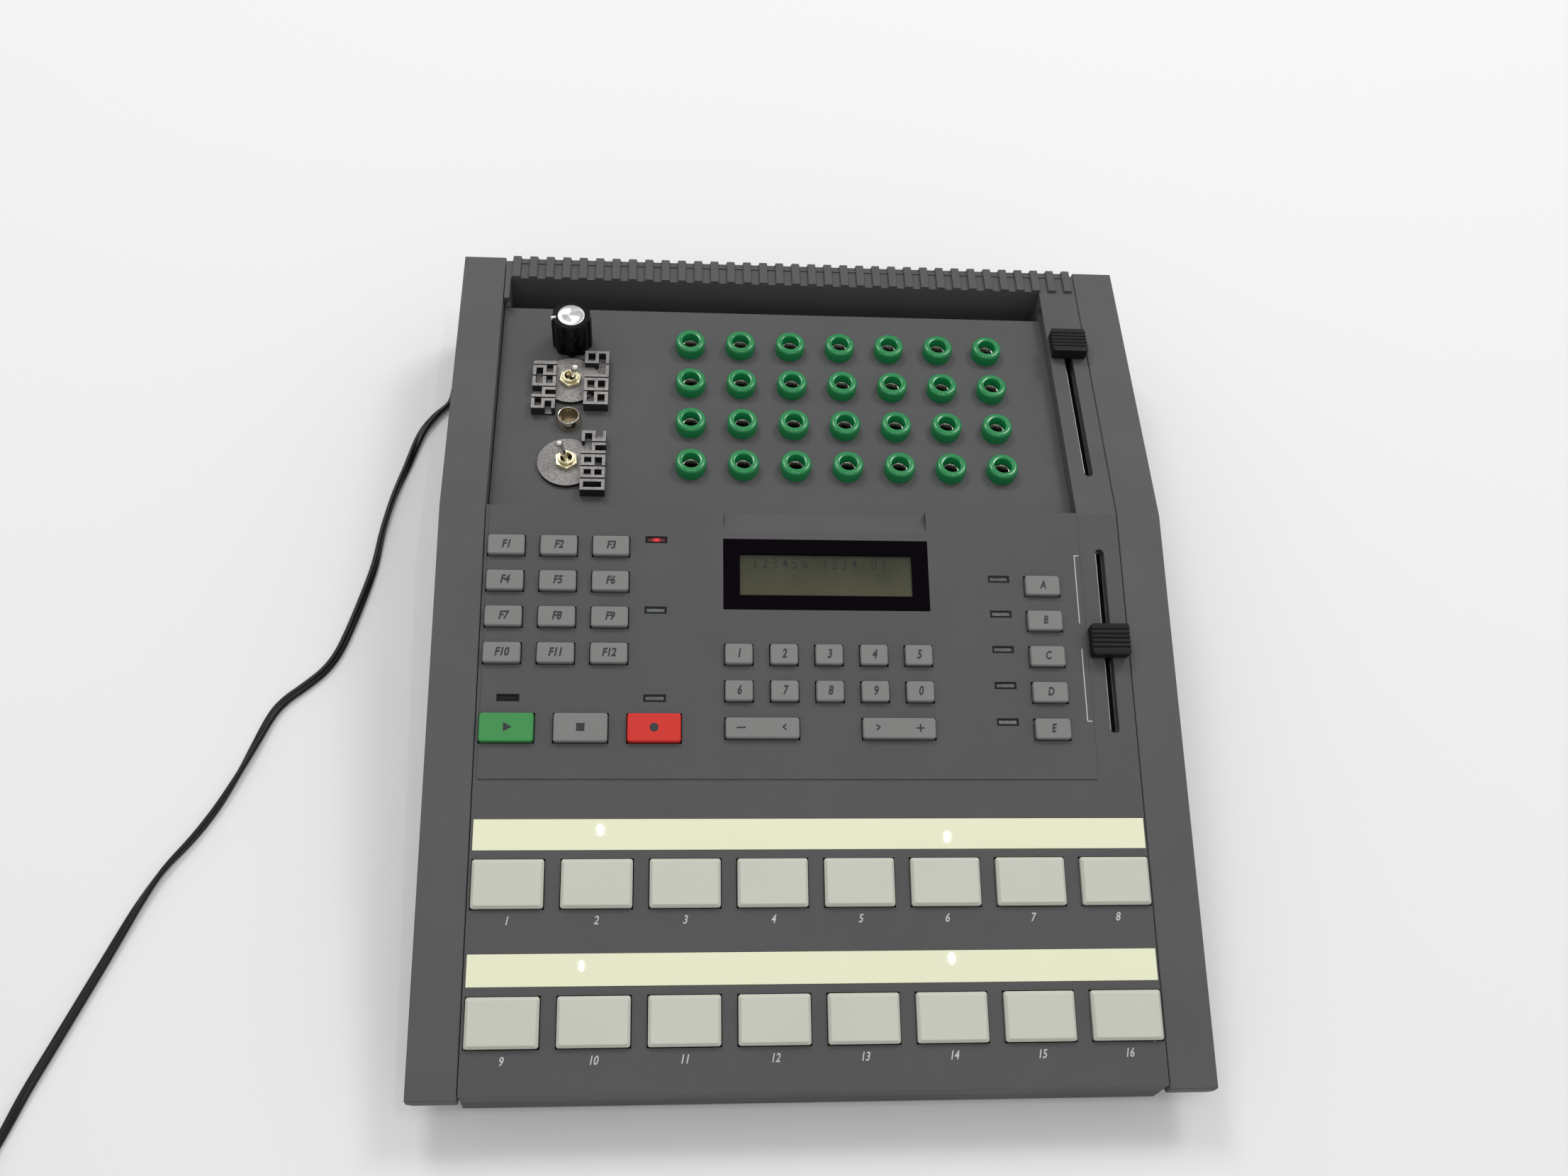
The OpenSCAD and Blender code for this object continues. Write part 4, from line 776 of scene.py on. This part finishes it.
# faint digits on the display
readout = {"text": "123456 1234 01", "pitch": 3.72, "x": -19.6, "y": 187.0, "size": 6.2, "top": -0.8,
           "narrow": 0.78, "fat": 0.05, "lift": 0.01}
looks["cell"] = moulded("displayCell", (0.024, 0.03, 0.024), 0.2, (0.25, 0.35), (800, 0.05), shine=0.2)
cells = []
for k, digit in enumerate(readout["text"]):
    if digit != " ":
        cell = legend(digit, readout["size"], (0, 0, 0), looks["cell"], 0, readout["narrow"],
                      readout["fat"], readout["lift"])
        x = readout["x"] + k * readout["pitch"]
        cells.append(lay(cell, onFront(x, readout["y"], readout["top"]), frontTurn))
finish(joined(cells, "displayDigits"), "case", [])
print("lenses, print and display done")

# green collars and the sockets in them, each spun from its outline
field = {"columns": 7, "rows": 4, "pitch": 20.3, "x": 17.5, "y": 54.0,
         "collar": [(6, 0), (6, 3.7), (5.86, 4.3), (5.45, 4.78), (4.85, 5.0), (4.1, 5.0), (3.6, 4.86),
                    (3.3, 4.4), (3.3, -8.5), (4, -8.5), (4, 0), (6, 0)],
         "socket": [(0, -14.5), (3.2, -14.5), (3.2, 0.9), (3.1, 1.1), (2.85, 1.0), (2.1, -0.6), (2.0, -1.4),
                    (2.0, -13), (0, -13)]}


def fillField(kind, steps, look, name, node):
    ring = paint(turned(kind, field[kind], steps), look)
    made = []
    for i in range(field["columns"]):
        for j in range(field["rows"]):
            x = field["x"] + (i - (field["columns"] - 1) / 2) * field["pitch"]
            y = field["y"] + (j - (field["rows"] - 1) / 2) * field["pitch"]
            made.append(lay(copyOf(ring, kind), onRear(x, y, machine["recessFloor"]), rearTurn))
    bpy.data.objects.remove(ring)
    finish(joined(made, name), "case", [node])


fillField("collar", 40, looks["collar"], "patchCollars", "jack_collars")
fillField("socket", 32, looks["contact"], "patchSockets", "jack_sockets")

# knob with its brushed disc and pointer
knob = {"at": (-91, 85.7), "base": -5.4, "height": 15.9, "ease": 0.4, "discSunk": 0.05, "pointerEase": 0.25,
        "disc": [(0, -0.75), (5.4, -0.75), (5.4, -0.1), (5.3, 0.02), (5.15, 0.1), (3.5, 0.1), (1.8, 0.1),
                 (0, 0.1)],
        "pointer": (2.0, 1.2, 2.2), "pointerOut": (-7.05, 0, -0.98), "pointerTurn": 10}
knobTop = knob["base"] + knob["height"]
paint(softened("knob", "knobBody", knob["ease"], 3, 30, "knob_turn"), looks["knob"])
disc = turned("knobDisc", knob["disc"], 72)
across = disc.data.uv_layers.new(name=brushed["map"])
for corner in disc.data.loops:  # across is the angle, so that the brushing runs in circles
    p = disc.data.vertices[corner.vertex_index].co
    reach = math.hypot(p.x, p.y) * brushed["rings"]
    across.data[corner.index].uv = (math.atan2(p.y, p.x) / math.tau + 0.5, reach)
lay(paint(disc, looks["disc"]), onRear(*knob["at"], knobTop - knob["discSunk"]), rearTurn)
finish(disc, "knob_turn", ["knob_insert"])
mark = rounded(box("knobPointer", knob["pointer"], knob["pointerOut"]), knob["pointerEase"])
lay(mark, (0, 0, 0), (0, 0, math.radians(knob["pointerTurn"])))
lay(paint(mark, looks["white"]), onRear(*knob["at"], knobTop), rearTurn)
finish(mark, "knob_turn", [])

# toggle switches: levers, nuts and thread
switches = {"x": -91, "lean": 17, "pivot": -4, "nutEase": 0.22,
            "at": {"upper": (64.8, -40), "lower": (24.1, 150)},  # up the panel, and degrees turned
            "lever": [(0, -1.5), (0.8, -1.25), (1.4, -0.5), (1.45, 0.2), (1.05, 1.2), (1.1, 2.2), (1.35, 8.8),
                      (1.45, 9.6), (1.3, 10.3), (0.85, 10.72), (0, 10.86)],
            "thread": [(2.62, 3.4), (3.0, 3.5), (2.82, 3.62), (3.0, 3.76), (2.82, 3.9), (3.0, 4.04),
                       (2.82, 4.18), (3.0, 4.32), (2.84, 4.5), (2.62, 4.61), (2.62, 3.4)]}
lean = Matrix.Rotation(math.radians(switches["lean"]), 3, "Y")
threads = []
for place, (y, facing) in switches["at"].items():
    stick = paint(turned(place + "Lever", switches["lever"], 32), looks["lever"])
    turn = rearTurn.to_matrix() @ Matrix.Rotation(math.radians(facing), 3, "Z") @ lean
    lay(stick, onRear(switches["x"], y, switches["pivot"]), turn.to_euler())
    finish(stick, place + "_switch", [place + "_toggle_lever"])
    thread = paint(turned("thread", switches["thread"], 36), looks["nut"])
    threads.append(lay(thread, onRear(switches["x"], y, machine["recessFloor"]), rearTurn))
finish(joined(threads, "switchThreads"), "case", [])
paint(softened("toggle_nuts", "switchNuts", switches["nutEase"]), looks["nut"])

# light sensor bezel, with a darker bottom
bezel = {"y": 45.0, "floor": (0.0003, 0.0006), "floorReach": 0.0036,
         "line": [(0, 0.45), (3.7, 0.45), (3.7, 3.9), (3.8, 4.12), (4.0, 4.2), (4.18, 4.12), (4.3, 3.9),
                  (5.3, 0), (3.1, 0), (3.1, -4.4), (0, -4.4)]}
well = turned("sensorWell", bezel["line"], 64)
paint(well, looks["bezel"], looks["well"])
low, high = bezel["floor"]
for face in well.data.polygons:
    if low < face.center.z < high and math.hypot(face.center.x, face.center.y) < bezel["floorReach"]:
        face.material_index = 1
lay(well, onRear(switches["x"], bezel["y"], machine["recessFloor"]), rearTurn)
finish(well, "case", ["sensor_bezel"])
print("rear controls done")

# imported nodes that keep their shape, with eased edges: name, width of the edge, look, body and part
eased = {"front_fader_cap": ("frontFaderCap", 0.3, "fader", "front_fader", "fader_dark"),
         "rear_fader_cap": ("rearFaderCap", 0.3, "fader", "rear_fader", "fader_dark"),
         "power_rocker": ("powerRocker", 0.35, "black", "power_switch", "connector_black"),
         "left_cheek": ("leftCheek", 0.6, "cheek", "case", "cheek_grey"),
         "right_cheek": ("rightCheek", 0.6, "cheek", "case", "cheek_grey"),
         "display_window": ("displayWindow", 0.12, "window", "case", "window_black"),
         "label_strips": ("labelStrips", 0.12, "strip", "case", "label_pale"),
         "upper_plate": ("upperPlate", 0.18, "plate", "case", "plate_print"),
         "lower_plate": ("lowerPlate", 0.18, "plate", "case", "plate_print"),
         "output_jacks": ("outputJacks", 0.25, "steel", "case", "connector_steel"),
         "rubber_feet": ("rubberFeet", 0.5, "rubber", "case", "rubber_black")}
for node, (name, width, look, body, part) in eased.items():
    paint(softened(node, name, width, body=body), looks[look])
print("edges eased")

# the bright edge of the steel track inside each fader slot
rails = {"slotAt": 111.5, "aside": 1.15, "length": 69.5, "thick": 0.6, "ease": 0.12, "sunk": -2.1,
         "front": 158.35, "rear": 53.95}
made = []
for panel, middle, turn in ((onFront, rails["front"], frontTurn), (onRear, rails["rear"], rearTurn)):
    rail = box("faderRail", (rails["thick"], rails["length"], rails["thick"]), (0, 0, 0))
    rounded(rail, rails["ease"], 3)
    place = panel(rails["slotAt"] - rails["aside"], middle, rails["sunk"])
    made.append(lay(paint(rail, looks["steel"]), place, turn))
finish(joined(made, "faderRails"), "case", [])

# floor, light and world; the small lamps are what the label strips mirror
stage = {"floor": (0.81, 0.815, 0.815), "floorSize": 8, "world": 0.62,
         "soft": {"power": 11.0, "size": (0.6, 0.6), "at": ((-0.62, 1.25, 1.66), (0.95, 1.05, 1.66))},
         "small": {"power": 0.9, "size": (0.0025, 0.02),
                   "at": ((-0.143, -0.076, 2.036), (0.423, -0.095, 2.0),
                          (-0.169, -0.291, 2.02), (0.425, -0.279, 1.99))}}
bpy.ops.object.select_all(action="DESELECT")
bpy.ops.mesh.primitive_plane_add(size=stage["floorSize"], location=(0, 0, 0))
floor = bpy.context.object
floor.name = "paleFloor"
look, tree, links, shader = blank("floorPale")
shader.inputs["Base Color"].default_value = (*stage["floor"], 1)
shader.inputs["Roughness"].default_value = 0.75
paint(floor, look)
for kind in ("soft", "small"):
    for place in stage[kind]["at"]:
        bpy.ops.object.light_add(type="AREA", location=place)
        lamp = bpy.context.object
        lamp.data.shape = "RECTANGLE"
        lamp.data.size, lamp.data.size_y = stage[kind]["size"]
        lamp.data.energy = stage[kind]["power"]
        if kind == "soft":  # these aim at the middle, and the small ones shine straight down
            lamp.rotation_euler = (-Vector(place)).to_track_quat("-Z", "Y").to_euler()
world = bpy.context.scene.world or bpy.data.worlds.new("studio")
bpy.context.scene.world = world
world.use_nodes = True
world.node_tree.nodes.clear()
sky = world.node_tree.nodes.new("ShaderNodeBackground")
sky.inputs["Color"].default_value = (1, 1, 1, 1)
sky.inputs["Strength"].default_value = stage["world"]
worldOut = world.node_tree.nodes.new("ShaderNodeOutputWorld")
world.node_tree.links.new(sky.outputs[0], worldOut.inputs[0])
bpy.context.scene.view_settings.view_transform = "Standard"
print("stage lit")
